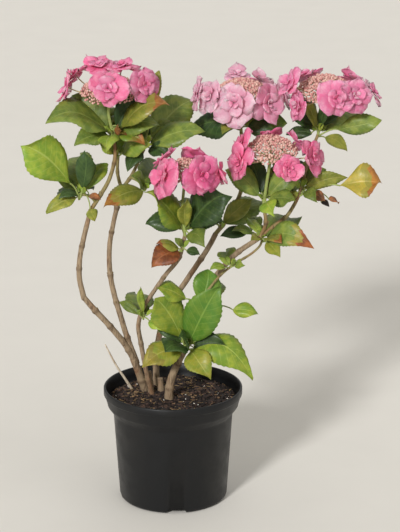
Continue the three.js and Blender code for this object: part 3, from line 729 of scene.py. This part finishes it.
# The foot of the pot: radius of the ring that it stands on, how far in and how high a drainage notch
# reaches, and the azimuth of the first of the four notches.
FOOT_RADIUS = 73.5
NOTCH_INNER = 59
NOTCH_REACH = 12
FIRST_NOTCH = -86
# The compost's side, as radii of the pot's outside with the heights there, and then its surface.
BED_SIDE = ((73.6, 6.8), (81, 120), (82, 124.4), (88, 132.6))
BED_RADIUS = 90.6
BED_RINGS = 36
CHIP_SIZES = ((1.2, 4.6), (0.9, 2.3), (0.5, 1.5))  # least and most half length, width and height of a chip


def pot_profile(settings):
    """Outside of the pot from the middle of its underside up to the lip, then down the inside."""
    top = settings.height / MM
    rim = settings.rim_radius / MM
    wall = settings.wall / MM
    outside = [
        (0, 0), (29, 0), (29.6, 0.9), (32.4, 0.9), (33, 0), (58.6, 0), (59.4, 0), (67.5, 0), (71.4, 0.9),
        (73.2, 3), (73.9, 6),
        (81.3, 119.5), (81.5, 121.6), (82.2, 123.4), (88.3, 131.8), (89.3, 133.4), (89.7, 135.4),
        (rim - 1.9, 146.4), (rim - 1.7, 147.4), (rim - 1.3, 147.7), (rim - 0.3, 148.2), (rim, 149.1),
        (rim, top - 1.3), (rim - 0.4, top - 0.4), (rim - 1.2, top)]
    inside = [
        (rim - 2.4, top), (rim - 3, top - 0.5), (rim - 3.2, 147), (89.7 - wall, 135.2),
        (88.3 - wall, 132.4), (82.2 - wall, 124), (81.3 - wall, 120), (74.2 - wall, 8), (70, 6.5), (0, 6.5)]
    return outside, inside


def spin_profile(bm, profile, sides):
    """Turns a profile of radius and height pairs once round the upright axis."""
    verts = [bm.verts.new((radius * MM, 0, height * MM)) for radius, height in profile]
    edges = [bm.edges.new(pair) for pair in zip(verts, verts[1:])]
    bmesh.ops.spin(
        bm, geom=verts + edges, cent=(0, 0, 0), axis=UP, angle=2 * math.pi, steps=sides, use_merge=True)
    bmesh.ops.remove_doubles(bm, verts=bm.verts[:], dist=MERGE)
    bmesh.ops.recalc_face_normals(bm, faces=bm.faces[:])


def cut_notches(bm, settings):
    """Lifts the foot ring at four places round the pot, and draws the columns in to make upright sides."""
    half = settings.notch_width / (FOOT_RADIUS * MM) / 2
    step = 2 * math.pi / settings.sides
    for vert in bm.verts:
        radius = math.hypot(vert.co.x, vert.co.y)
        if radius < NOTCH_INNER * MM or vert.co.z > NOTCH_REACH * MM:
            continue
        angle = math.atan2(vert.co.y, vert.co.x)
        for quarter in range(4):
            middle = math.radians(FIRST_NOTCH + 90 * quarter)
            off = (angle - middle + math.pi) % (2 * math.pi) - math.pi
            if abs(abs(off) - half) < step / 2:
                sliver = -0.08 * step if abs(off) < half else 0.08 * step
                off = math.copysign(half + sliver, off)
                vert.co.x = radius * math.cos(middle + off)
                vert.co.y = radius * math.sin(middle + off)
            if abs(off) < half and vert.co.z < settings.notch_height:
                vert.co.z = settings.notch_height


def compost_height(settings, x, y):
    """Height of the crumbled surface at a place."""
    share = min(1, math.hypot(x, y) / (90 * MM))
    mound = settings.edge + (settings.middle - settings.edge) * (1 - share * share)
    spot = Vector((x, y, 0))
    lumps = 2.6 * noise.noise(spot / (16 * MM)) + 1.8 * noise.noise(spot / (6 * MM))
    return mound + lumps * MM


class HYDRANGEA_OT_pot(bpy.types.Operator):
    """Turn the nursery pot with its lip, collar and drainage notches"""

    bl_idname = "hydrangea.make_pot"
    bl_label = "Pot"

    def execute(self, context):
        settings = context.scene.hydrangea_pot
        outside, inside = pot_profile(settings)
        bm = bmesh.new()
        spin_profile(bm, outside + inside, settings.sides)
        cut_notches(bm, settings)
        pot = object_from(bm, "nursery_pot", moulded_polypropylene(settings), 50)
        finish_piece(pot, "pot", "pot")
        return {"FINISHED"}


class HYDRANGEA_OT_compost(bpy.types.Operator):
    """Fill the pot with compost and scatter chips, fibres and perlite on it"""

    bl_idname = "hydrangea.make_compost"
    bl_label = "Compost"

    def execute(self, context):
        settings = context.scene.hydrangea_compost
        wall = context.scene.hydrangea_pot.wall / MM
        edge = settings.edge / MM
        reach = BED_RADIUS - wall
        bm = bmesh.new()
        below = [(0, BED_SIDE[0][1])] + [(radius - wall, height) for radius, height in BED_SIDE]
        top = [(reach * (1 - i / BED_RINGS), edge) for i in range(BED_RINGS + 1)]
        spin_profile(bm, below + top, 120)
        for vert in bm.verts:
            if vert.co.z > (edge - 1) * MM:
                vert.co.z = compost_height(settings, vert.co.x, vert.co.y)
        bed = object_from(bm, "compost_bed", damp_peat(settings), 60)
        finish_piece(bed, "compost", "compost")
        self.scatter(settings, reach * MM)
        return {"FINISHED"}

    def scatter(self, settings, reach):
        """Strews bark chips, perlite and fibres over the bed, within reach of its middle."""
        rng = random.Random(3)
        ball = ball_shape(1)
        chips = Heap()
        barks = [
            litter("bark_chip_brown", "5A4032", "2C1F19", 3),
            litter("bark_chip_tan", "8C6E4E", "4E3A2A", 4),
            litter("bark_chip_dark", "33241E", "150F0D", 3)]
        for number in range(settings.chips):
            scale = rng.uniform(1.4, 2.1) if number < settings.clods else rng.uniform(0.7, 1.3)
            size = np.array([rng.uniform(*spread) for spread in CHIP_SIZES]) * scale * MM
            self.drop(chips, ball, size, settings, reach, rng, rng.choices(barks, (4, 1, 9))[0], 0.5)
        finish_piece(chips.build("compost_chips"), "compost")
        grains = Heap()
        perlite = litter("perlite", "E6E2D8", "C2BBAE", 1.5)
        for _ in range(settings.grains):
            size = np.array([rng.uniform(0.7, 1.5) for _ in range(3)]) * MM
            self.drop(grains, ball, size, settings, reach, rng, perlite, 0.3)
        finish_piece(grains.build("compost_perlite"), "compost")
        fibres = Heap()
        straw = litter("pale_fibre", "AF9468", "6C5438", 5)
        for _ in range(settings.fibres):
            start = self.spot(settings, reach * 0.95, rng, 0.6)
            way = direction(rng.uniform(0, 360), rng.uniform(-8, 14)) * rng.uniform(5, 17) * MM
            bend = direction(rng.uniform(0, 360), 30) * rng.uniform(1, 4) * MM
            ends = [np.array(p) for p in (start - way / 2, start + bend, start + way / 2)]
            flat = min(1, (reach - 1 * MM) / max(np.linalg.norm(p[:2]) for p in ends))
            for p in ends:
                p[:2] *= flat
            add_tube(fibres, curve_through(*ends, 5), np.full(5, rng.uniform(0.22, 0.5) * MM), 4, straw)
        finish_piece(fibres.build("compost_fibres", weld=True), "compost")

    def spot(self, settings, reach, rng, lift_mm):
        """A place on the bed, lifted a little above it."""
        radius = reach * math.sqrt(rng.random())
        angle = rng.uniform(0, 2 * math.pi)
        x, y = radius * math.cos(angle), radius * math.sin(angle)
        return Vector((x, y, compost_height(settings, x, y) + lift_mm * MM))

    def drop(self, heap, shape, size, settings, reach, rng, material, lift_mm):
        """Drops one rough lump of a size, turned at random, on the bed."""
        spin = Matrix.Rotation(rng.uniform(0, math.pi), 3, "Z")
        turn = spin @ Matrix.Rotation(rng.uniform(-0.6, 0.6), 3, "X")
        odd = Vector((heap.count, 0, 0))
        rough = np.array([1 + 0.28 * noise.noise(Vector(p) * 2 + odd) for p in shape.points])
        points = (shape.points * rough[:, None] * size) @ np.array(turn).T
        heap.add(shape, points + np.array(self.spot(settings, reach - size[0], rng, lift_mm)), material)


# ---- Stems ----

def limb_relief(seed, depth):
    """Lengthwise ridges and dents that shrinking bark leaves on a stem. depth is a share of the radius."""
    def relief(centres, angle):
        values = np.empty(len(angle))
        for i, (centre, turn) in enumerate(zip(centres, angle)):
            spot = Vector((2.2 * math.cos(turn) + seed, 2.2 * math.sin(turn), centre[2] / (30 * MM)))
            values[i] = 1 + depth * noise.noise(spot * 1.6) + 0.5 * depth * noise.noise(spot * 4)
        return values
    return relief


def nodes_along(settings, travelled, rng):
    """Distances from the foot at which leaf scars sit."""
    places = []
    at = rng.uniform(0.3, 0.9) * settings.node_gap
    while at < travelled - 4 * MM:
        places.append(at)
        at += settings.node_gap * rng.uniform(0.65, 1.3)
    return places


class HYDRANGEA_OT_stems(bpy.types.Operator):
    """Give every limb its bark, with swollen nodes, leaf scars and side buds"""

    bl_idname = "hydrangea.make_stems"
    bl_label = "Stems and boughs"

    def execute(self, context):
        settings = context.scene.hydrangea_stems
        rng = random.Random(7)
        dark, rust = settings.bark_dark, settings.rust
        skins = {
            "bark": papery_bark("papery_bark", settings.bark, dark, rust),
            "young": papery_bark("young_bark", settings.young_bark, dark, rust, 0.3, 0.7),
            "green": green_stalk("flower_stalk_skin", settings.green, linear("84603F")),
            "dry": papery_bark("bleached_wood", settings.dry, linear("8C7B66"), linear("A8937A"), 0.2),
        }
        names = {"bark": "bark_stems", "young": "bark_boughs", "green": "flower_stalks", "dry": "dead_stub"}
        slots = {"bark": "stem_bark", "young": "stem_bark", "green": "green_stalk", "dry": "dry_wood"}
        heaps = {kind: Heap() for kind in skins}
        buds = Heap()
        for number, (route, thick, kind) in enumerate(LIMBS.values()):
            self.limb(heaps[kind], buds, settings, route, thick, kind, skins, number, rng)
        for kind, heap in heaps.items():
            nodes = [name for name, limb in LIMBS.items() if limb[2] == kind]
            finish_piece(heap.build(names[kind], weld=True), slots[kind], *nodes)
        finish_piece(buds.build("side_buds"), "stem_bark")
        return {"FINISHED"}

    def limb(self, heap, buds, settings, route, thick, kind, skins, number, rng):
        """One limb, with its leaf scars and side buds. A stem flares and has painted shade at the compost.
        """
        path = smooth_path(route, settings.ring)
        rooted = route[0][2] == STEM_FOOT
        steps = np.linalg.norm(np.diff(path, axis=0), axis=1)
        travelled = np.concatenate([[0], np.cumsum(steps)])
        share = travelled / travelled[-1]
        radii = (thick[0] + (thick[1] - thick[0]) * share) / 2 * MM
        shade = np.zeros(len(path))
        if rooted and kind == "bark":
            radii *= 1 + 0.32 * np.exp(-travelled / (9 * MM))
            # Painted shade: the bark darkens towards the compost, where the stem meets it.
            shade += 0.7 * np.exp(-travelled / (12 * MM))
        if kind in ("bark", "young"):
            frames = path_frames(path)
            for turn, at in enumerate(nodes_along(settings, travelled[-1], rng)):
                bulge = np.exp(-((travelled - at) / (2.6 * MM)) ** 2)
                radii *= 1 + settings.swelling * bulge
                shade = np.maximum(shade, rng.uniform(0.45, 0.95) * bulge)
                ring = int(np.argmin(abs(travelled - at - 2 * MM)))
                spot = [part[ring] for part in (path, *frames)]
                self.bud_pair(buds, spot, radii[ring], turn, skins["young"], rng)
        if not rooted:  # its foot is inside the limb that bears it
            path = np.concatenate([[path[0] - (path[1] - path[0]) * 1.6], path])
            radii = np.concatenate([radii[:1] * 0.9, radii])
            shade = np.concatenate([shade[:1], shade])
        relief = limb_relief(number, 0.1 if kind == "bark" else 0.05)
        add_tube(heap, path, radii, settings.sides, skins[kind], shade, relief)

    def bud_pair(self, buds, spot, radius, turn, skin, rng):
        """Up to two pointed buds stand opposite each other above a leaf scar, square to those below."""
        centre, along, side, other = spot
        ball = ball_shape(2)
        spin = turn * math.pi / 2
        for flip in (1, -1):
            if rng.random() < 0.5:
                continue
            spoke = flip * (math.cos(spin) * side + math.sin(spin) * other)
            tip = along + spoke * 0.3
            tip /= np.linalg.norm(tip)
            size = rng.uniform(0.55, 0.95) * MM
            stretch = ball.points @ tip
            points = ball.points * size + np.outer(stretch * size * (1.3 + 0.5 * (stretch > 0)), tip)
            buds.add(ball, points + centre + spoke * radius * 0.95, skin, shade=0.45)


# ---- Leaves ----

def outline(u, form):
    """Half the width of a blade along it: a wedge-shaped foot, a broad middle and a drawn-out tip."""
    body = np.sin(math.pi * np.clip(u, 0, 1) ** (0.86 * form)) ** 0.86
    return np.maximum(body * (1 - 0.2 * u ** 6), 0.02)


def ragged_slide(shape, phase):
    """How far points slide along a blade, so that the borders between its tints run ragged across it."""
    u, v, _ = shape.points.T
    swell = np.exp(-((u - 0.68) / 0.16) ** 2)
    return swell * (0.04 - 0.08 * abs(v) + 0.05 * np.sin(9 * v + phase) + 0.03 * np.sin(23 * v + 3 * phase))


def blade_points(shape, foot, way, settings, blade, width, turn, form, arch, rng, slide):
    """The points of one blade from its foot towards way, its upper side turned to the light."""
    side = LIGHT.cross(way).normalized()
    side.rotate(Matrix.Rotation(math.radians(turn), 3, way))
    face = way.cross(side)
    u, v, upper = shape.points.T
    rows = len(np.unique(np.round(u, 4))) - 1
    rim = abs(v) ** 5
    tooth = np.cos(math.pi * rows * u) * settings.teeth * np.sin(math.pi * np.clip(u, 0, 1)) ** 0.3
    u = u + slide
    body = outline(u, form)
    lean = rng.uniform(-0.06, 0.06)
    across = v * body * (1 + tooth * rim) * width / 2 + lean * blade * np.sin(math.pi * u)
    along = blade * (u + 0.4 / rows * rim * (tooth > 0) * np.sin(math.pi * u))
    wave = rng.uniform(0, 6.3)
    flat = abs(v) * body * width / 2
    height = settings.fold * flat * rng.uniform(0.5, 2.4)
    height -= rng.uniform(0.08, 0.3) * width * (abs(v) * body) ** 3
    height += 0.02 * blade * abs(v) ** 2 * np.sin(12 * u + wave + 2.2 * np.sign(v))
    puff = 0.5 - 0.5 * np.cos(2 * math.pi * (VEIN_PAIRS * u - 2 * abs(v) ** 0.8))
    height += 0.9 * MM * puff * (1 - abs(v)) * np.minimum(1, 4 * abs(v)) * body
    height -= rng.uniform(0, 0.4) * blade * np.maximum(0, u - 0.45) ** 2
    height += rng.uniform(-0.2, 0.2) * width * v * u
    height += rng.uniform(-0.03, 0.05) * blade * np.sin(math.pi * u)
    rib = (1.15 - 0.9 * u) * MM * np.exp(-(v * width / 2 / (2.2 * MM)) ** 2)
    height -= (1 - upper) * (settings.thickness + 0.8 * rib)
    height -= upper * 0.35 * rib
    points = np.array(foot) + np.outer(along, way) + np.outer(across, side) + np.outer(height, face)
    points[:, 2] += 4 * arch * blade * u * (1 - u)
    return points


class Foliage:
    """Grows the leaves and leaf stalks of the sprays."""

    def __init__(self, settings):
        self.settings = settings
        self.rng = random.Random(settings.seed)
        self.large = sheet_shape(26, 6)
        self.small = sheet_shape(12, 4)
        self.skins = {}
        stems = bpy.context.scene.hydrangea_stems
        self.stalk_skin = green_stalk("leaf_stalk_skin", stems.green, linear("7A6A3A"))
        self.twig_skin = green_stalk("twig_skin", linear("86884A"), linear("6E4E32"))
        self.stalks = Heap()
        self.limbs = [smooth_path(route, 3 * MM) for route, _, kind in LIMBS.values() if kind != "dry"]

    def leaf(self, heap, start, axis, knot, leaf):
        """One leaf out of the knot, with its stalk from start on the limb."""
        azimuth, rise, reach, width, bare, tint, turn, *shape_words = leaf
        form, arch = (*shape_words, *(1.0, self.settings.arch)[len(shape_words):])
        rng = self.rng
        way = direction(azimuth, rise)
        foot = knot + way * bare * MM
        blade = (reach - bare) * MM
        shape = self.large if reach > 34 else self.small
        first, _, last = tint.partition(" ")
        slide = ragged_slide(shape, azimuth) if last else 0.0
        later = zip(TINT_BORDERS, (self.skin("turning"), self.skin(last))) if last else ()
        turn += rng.uniform(-9, 9)
        points = blade_points(
            shape, foot, way, self.settings, blade, width * MM, turn, form, arch, rng, slide)
        chart = np.stack([shape.points[:, 0] + slide, 0.5 + 0.5 * shape.points[:, 1]], axis=1)
        heap.add(shape, points, *self.skin(first), chart, rng.random(), later)
        lift = Vector(axis) * 0.25 * (foot - Vector(start)).length
        middle = (Vector(start) + foot) / 2 + way * 0.1 * bare * MM + lift
        thick = self.settings.stalk / 2 / MM * (0.5 + 0.5 * min(1, width / 40))
        ends = (start, middle, foot + way * 1.5 * MM)
        add_stalk(self.stalks, ends, 7, (1.15 * thick, 0.8 * thick), 8, self.stalk_skin)

    def skin(self, tint):
        """The materials of a tint's two faces."""
        if tint not in self.skins:
            face, mottle, vein, back = LEAF_TINTS[tint]
            self.skins[tint] = (
                leaf_blade(f"leaf_{tint}", face, mottle, vein, True),
                leaf_blade(f"leaf_{tint}_below", back, face, vein, False))
        return self.skins[tint]

    def nearest(self, knot):
        """The limb point nearest to a knot, and the limb's direction there."""
        best = min(self.limbs, key=lambda path: np.linalg.norm(path - np.array(knot), axis=1).min())
        at = int(np.argmin(np.linalg.norm(best - np.array(knot), axis=1)))
        low, high = best[max(0, at - 1)], best[min(len(best) - 1, at + 1)]
        return Vector(best[at]), Vector(high - low).normalized()

    def spray(self, name):
        """A twig from the limb to the knot, then leaves in pairs up it and small leaves between."""
        centre, leaves = SPRAYS[name]
        knot = Vector(centre) * MM
        near, axis = self.nearest(knot)
        heap = Heap()
        gap = (knot - near).length
        if gap > 4 * MM:
            ends = (near, (near + knot) / 2 + axis * 0.25 * gap, knot)
            add_stalk(self.stalks, ends, 8, (2.3, 1.7), 10, self.twig_skin, 0.3)
            near = knot
        for number, leaf in enumerate(leaves):
            level = (number // 2 - (len(leaves) - 1) / 4) * 4 * MM
            start = near + axis * max(-9 * MM, min(9 * MM, level))
            self.leaf(heap, start, axis, knot, leaf)
        self.small_leaves(heap, near, axis, leaves)
        piece = heap.build(name.replace("leaves", "spray").replace("leaf", "spray"))
        finish_piece(piece, LEAF_SLOTS.get(name, "leaf_green"), name)

    def small_leaves(self, heap, near, axis, leaves):
        """Seeded rule: opposite pairs of young leaves stand in the angles, and one shoot fills the back."""
        rng = self.rng
        for _ in range(2):
            azimuth = rng.uniform(0, 360)
            for flip in (0, 180):
                leaf = (azimuth + flip, rng.uniform(30, 65), rng.uniform(12, 21), rng.uniform(5, 9), 4,
                        rng.choice(["young", "bright", "mid"]), rng.uniform(-25, 25))
                self.leaf(heap, near + axis * 3 * MM, axis, near, leaf)
        if len(leaves) < 5:
            return
        way = direction(rng.uniform(50, 130), rng.uniform(0, 40))
        tip = near + way * rng.uniform(20, 30) * MM
        ends = (near, (near + tip) / 2 + UP * 3 * MM, tip)
        add_stalk(self.stalks, ends, 7, (1.2, 1.2), 8, self.twig_skin)
        for flip in (-1, 1):
            for pair in (0, 1):
                foot = near.lerp(tip, 0.55 + 0.45 * pair)
                leaf = (
                    math.degrees(math.atan2(way.y, way.x)) + flip * rng.uniform(40, 80),
                    rng.uniform(-5, 35), rng.uniform(30, 44), rng.uniform(15, 21), 5,
                    rng.choice(["mid", "dark", "mid", "bright"]), rng.uniform(-20, 20))
                self.leaf(heap, foot, way, foot, leaf)


class HYDRANGEA_OT_leaves(bpy.types.Operator):
    """Grow every leaf mass as a spray of stalks and toothed, veined leaves"""

    bl_idname = "hydrangea.make_leaves"
    bl_label = "Leaves"

    def execute(self, context):
        foliage = Foliage(context.scene.hydrangea_leaves)
        for name in SPRAYS:
            foliage.spray(name)
        finish_piece(foliage.stalks.build("leaf_stalks", weld=True), "green_stalk")
        return {"FINISHED"}


# ---- Flower heads ----

# Rounds of sepals in a double floret: how many, their length as a share of the radius, and their lift.
ROUNDS = ((5, 1.06, 1), (4, 0.62, 14), (3, 0.3, 32))


RAYS = 7  # stalks from a head's root to the rim of its dome, beside the middle one
FORKS = 34  # points on the dome where the buds' own stalks start


class Blossom:
    """Grows the florets, the fertile buds and their branching stalks."""

    def __init__(self, settings):
        self.settings = settings
        self.rng = random.Random(settings.seed)
        self.sheet = sheet_shape(5, 4)
        self.ball = ball_shape(1)
        self.skins = {k: sepal(f"sepal_{k}", *tints) for k, tints in SEPAL_TINTS.items()}
        self.bud_skin = fertile_bud(settings)
        self.stalk_skin = green_stalk("cyme_skin", linear("B3A878"), linear("B9788A"))

    def sepal_points(self, centre, out, facing, size):
        """The points and the blade map of one sepal from its foot at centre, cupped and waved at random."""
        rng = self.rng
        side = facing.cross(out).normalized()
        along, v, upper = self.sheet.points.T
        u = np.sin(along * math.pi / 2)
        point = rng.uniform(0.6, 1.15)
        half = 1.02 * u ** 0.8 * np.maximum(0, 1 - u ** 2.8) ** point * rng.uniform(0.95, 1.25)
        half = np.maximum(half, 0.03)
        wave = rng.uniform(0, 6.3)
        height = size * (rng.uniform(-0.22, 0.22) * u ** 2 + rng.uniform(-0.2, 0.18) * v ** 2 * u)
        height += 0.1 * size * u ** 2 * np.sin(4 * v + wave)
        height += (upper - 0.5) * 0.45 * MM
        reach = u * size * (1 + 0.06 * u * np.sin(5 * v + wave))
        points = np.array(centre) + np.outer(reach, out) + np.outer(v * half * size, side)
        return points + np.outer(height, facing), np.stack([u, 0.5 + 0.5 * v], axis=1)

    def floret(self, heap, stalks, root, floret, foot, tints):
        """One double floret: rounds of sepals, each smaller and more upright, on a stalk from the root."""
        azimuth, out, up, diameter, rise, *looks = floret
        rng = self.rng
        facing = direction((looks or [azimuth])[0] + rng.uniform(-9, 9), rise + rng.uniform(-6, 10))
        centre = foot + direction(azimuth, 0) * (out - 5) * MM + UP * up * MM
        right = facing.cross(UP).normalized()
        top = right.cross(facing)
        turn = rng.uniform(0, 6.3)
        for level, (count, share, lift) in enumerate(ROUNDS):
            turn += 0.6
            tint = self.skins[tints[0] if rng.random() < 0.72 else tints[1]]
            for i in range(count):
                spin = turn + 2 * math.pi * i / count + rng.uniform(-0.1, 0.1)
                flat = right * math.cos(spin) + top * math.sin(spin)
                tilt = math.radians(lift + rng.uniform(-13, 13))
                out_way = flat * math.cos(tilt) + facing * math.sin(tilt)
                up_way = facing * math.cos(tilt) - flat * math.sin(tilt)
                base = centre + facing * (level * 0.9 - 1.5) * MM + flat * 0.8 * MM
                size = diameter / 2 * MM * share * rng.uniform(0.82, 1.12)
                points, chart = self.sepal_points(base, out_way, up_way, size)
                heap.add(self.sheet, points, tint, chart=chart, shade=rng.random())
        behind = centre - facing * 3 * MM
        ends = (root, behind - facing * 12 * MM + UP * -4 * MM, behind)
        add_stalk(stalks, ends, 8, (1.1, 0.75), 6, self.stalk_skin)

    def head(self, name):
        """Florets ring a low dome of fertile buds, which stand on stalks that fork three times."""
        centre, dome_radius, florets, *tints = HEADS[name]
        foot = Vector(centre) * MM
        sepals = Heap()
        stalks = Heap()
        root = foot - UP * 8 * MM
        for floret in florets:
            self.floret(sepals, stalks, root, floret, foot, tints)
        buds = Heap()
        self.dome(buds, stalks, root, foot, dome_radius * 0.84 * MM)
        number = name[-1]
        finish_piece(sepals.build(f"florets_{number}"), "petal_pink", name)
        finish_piece(buds.build(f"fertile_buds_{number}"), "petal_pink")
        finish_piece(stalks.build(f"cyme_stalks_{number}", weld=True), "green_stalk")

    def dome(self, buds, stalks, root, foot, radius):
        """Fertile buds in a spiral over the dome, each on a stalk from the nearest fork."""
        rng = self.rng
        count = round(self.settings.buds * (radius / (42 * MM)) ** 2)
        golden = math.pi * (3 - math.sqrt(5))
        rays = [self.dome_point(foot, radius, 0.62, 2 * math.pi * i / RAYS + 0.4, -9) for i in range(RAYS)]
        rays.append(self.dome_point(foot, radius, 0.0, 0, -8))
        forks = [
            self.dome_point(foot, radius, 0.25 + 0.62 * (i % 3) / 2, golden * i * 2.3, -4.5)
            for i in range(FORKS)]
        for ray in rays:
            ends = (root, root.lerp(ray, 0.5) + UP * MM, ray)
            add_stalk(stalks, ends, 7, (1.5, 0.9), 6, self.stalk_skin)
        for fork in forks:
            ray = min(rays, key=lambda point: (point - fork).length)
            ends = (ray, ray.lerp(fork, 0.5) + UP * 0.5 * MM, fork)
            add_stalk(stalks, ends, 4, (0.85, 0.55), 5, self.stalk_skin)
        for i in range(count):
            share = math.sqrt((i + 0.5) / count)
            spot = self.dome_point(foot, radius, share, golden * i, rng.uniform(-1.6, 1.4))
            spot += Vector((rng.uniform(-1, 1), rng.uniform(-1, 1), 0)) * 0.9 * MM
            fork = min(forks, key=lambda point: (point - spot).length)
            lean = (spot - fork).normalized() + UP * 0.6
            lean.normalize()
            size = self.settings.bud / 2 * rng.uniform(0.72, 1.2)
            stretch = self.ball.points @ np.array(lean)
            points = self.ball.points * size + np.outer(stretch * size * 0.35, lean)
            buds.add(self.ball, points + np.array(spot), self.bud_skin)
            add_tube(stalks, np.array([fork, spot]), np.full(2, 0.34 * MM), 4, self.stalk_skin)

    def dome_point(self, foot, radius, share, angle, drop_mm):
        """A point on the dome, at a share of its radius. The dome leans a little towards the light."""
        x, y = share * radius * math.cos(angle), share * radius * math.sin(angle)
        height = self.settings.dome * (1 - share ** 2.4) + 0.2 * y
        return foot + Vector((x, y, height + drop_mm * MM))


class HYDRANGEA_OT_flowers(bpy.types.Operator):
    """Grow the five flower heads: double florets round domes of fertile buds"""

    bl_idname = "hydrangea.make_flowers"
    bl_label = "Flower heads"

    def execute(self, context):
        blossom = Blossom(context.scene.hydrangea_flowers)
        for name in HEADS:
            blossom.head(name)
        return {"FINISHED"}


# ---- Stage ----

CAMERA_PLACE = (0.0368, -2.6779, 1.1462)
CAMERA_TILT = 73.02  # degrees up from straight down
CAMERA_LENS = 141.4
CAMERA_FILM = 36
FLOOR_REACH = 12
FLOOR_DROP = 0.4 * MM  # the floor lies this far under the pot
SURROUND_STRENGTH = 0.5
# Each light's azimuth and rise, where it stands, and how wide it looks, in degrees.
LIGHTS = {"key": (-115, 27, 9), "fill": (-40, 40, 60), "back": (80, 50, 60)}


class HYDRANGEA_OT_stage(bpy.types.Operator):
    """Set up the pale floor, the studio lights and the camera"""

    bl_idname = "hydrangea.make_stage"
    bl_label = "Stage"

    def execute(self, context):
        settings = context.scene.hydrangea_stage
        bm = bmesh.new()
        bmesh.ops.create_grid(bm, x_segments=2, y_segments=2, size=FLOOR_REACH)
        floor = object_from(bm, "floor", plain_floor(settings))
        floor.location.z = -FLOOR_DROP
        self.lights(context.scene, settings)
        camera = bpy.data.cameras.new("camera")
        camera.lens = CAMERA_LENS
        camera.sensor_fit = "VERTICAL"
        camera.sensor_height = CAMERA_FILM
        viewer = place(bpy.data.objects.new("camera", camera))
        viewer.location = CAMERA_PLACE
        viewer.rotation_euler = (math.radians(CAMERA_TILT), 0, 0)
        context.scene.camera = viewer
        context.scene.view_settings.view_transform = "Standard"
        return {"FINISHED"}

    def lights(self, scene, settings):
        """Three soft suns and an even surround."""
        for name, (azimuth, rise, width) in LIGHTS.items():
            lamp = bpy.data.lights.new(name, "SUN")
            lamp.angle = math.radians(width)
            lamp.energy = getattr(settings, name)
            lamp_object = place(bpy.data.objects.new(name, lamp))
            lamp_object.location = direction(azimuth, rise) * 2
            lamp_object.rotation_euler = (-direction(azimuth, rise)).to_track_quat("-Z", "Y").to_euler()
        scene.world = bpy.data.worlds.new("surround")
        scene.world.use_nodes = True
        backdrop = scene.world.node_tree.nodes["Background"]
        backdrop.inputs[0].default_value = rgba(settings.surround)
        backdrop.inputs[1].default_value = SURROUND_STRENGTH


# ---- Add-on ----

class HYDRANGEA_PT_panel(bpy.types.Panel):
    """Lists the plant's pieces and their settings"""

    bl_idname = "HYDRANGEA_PT_panel"
    bl_label = "Hydrangea"
    bl_space_type = "VIEW_3D"
    bl_region_type = "UI"
    bl_category = "Hydrangea"

    def draw(self, context):
        for operator, group, _ in STEPS:
            box = self.layout.box()
            box.operator(operator.bl_idname)
            settings = getattr(context.scene, group)
            for name in settings.__annotations__:
                box.prop(settings, name)


# The steps in order: each operator, the name of its settings in the scene, and the group that holds them.
STEPS = (
    (HYDRANGEA_OT_stage, "hydrangea_stage", StageSettings),
    (HYDRANGEA_OT_pot, "hydrangea_pot", PotSettings),
    (HYDRANGEA_OT_compost, "hydrangea_compost", CompostSettings),
    (HYDRANGEA_OT_stems, "hydrangea_stems", StemSettings),
    (HYDRANGEA_OT_leaves, "hydrangea_leaves", LeafSettings),
    (HYDRANGEA_OT_flowers, "hydrangea_flowers", FlowerSettings),
)


def register():
    """Makes the settings, the operators and the panel known."""
    for _, name, group in STEPS:
        bpy.utils.register_class(group)
        setattr(bpy.types.Scene, name, bpy.props.PointerProperty(type=group))
    for operator, _, _ in STEPS:
        bpy.utils.register_class(operator)
    bpy.utils.register_class(HYDRANGEA_PT_panel)


def unregister():
    """Takes them away again."""
    bpy.utils.unregister_class(HYDRANGEA_PT_panel)
    for operator, name, group in reversed(STEPS):
        bpy.utils.unregister_class(operator)
        delattr(bpy.types.Scene, name)
        bpy.utils.unregister_class(group)


def main():
    """Makes every piece in order."""
    register()
    for operator, _, _ in STEPS:
        getattr(bpy.ops.hydrangea, operator.bl_idname.removeprefix("hydrangea."))()


if __name__ == "__main__":
    main()
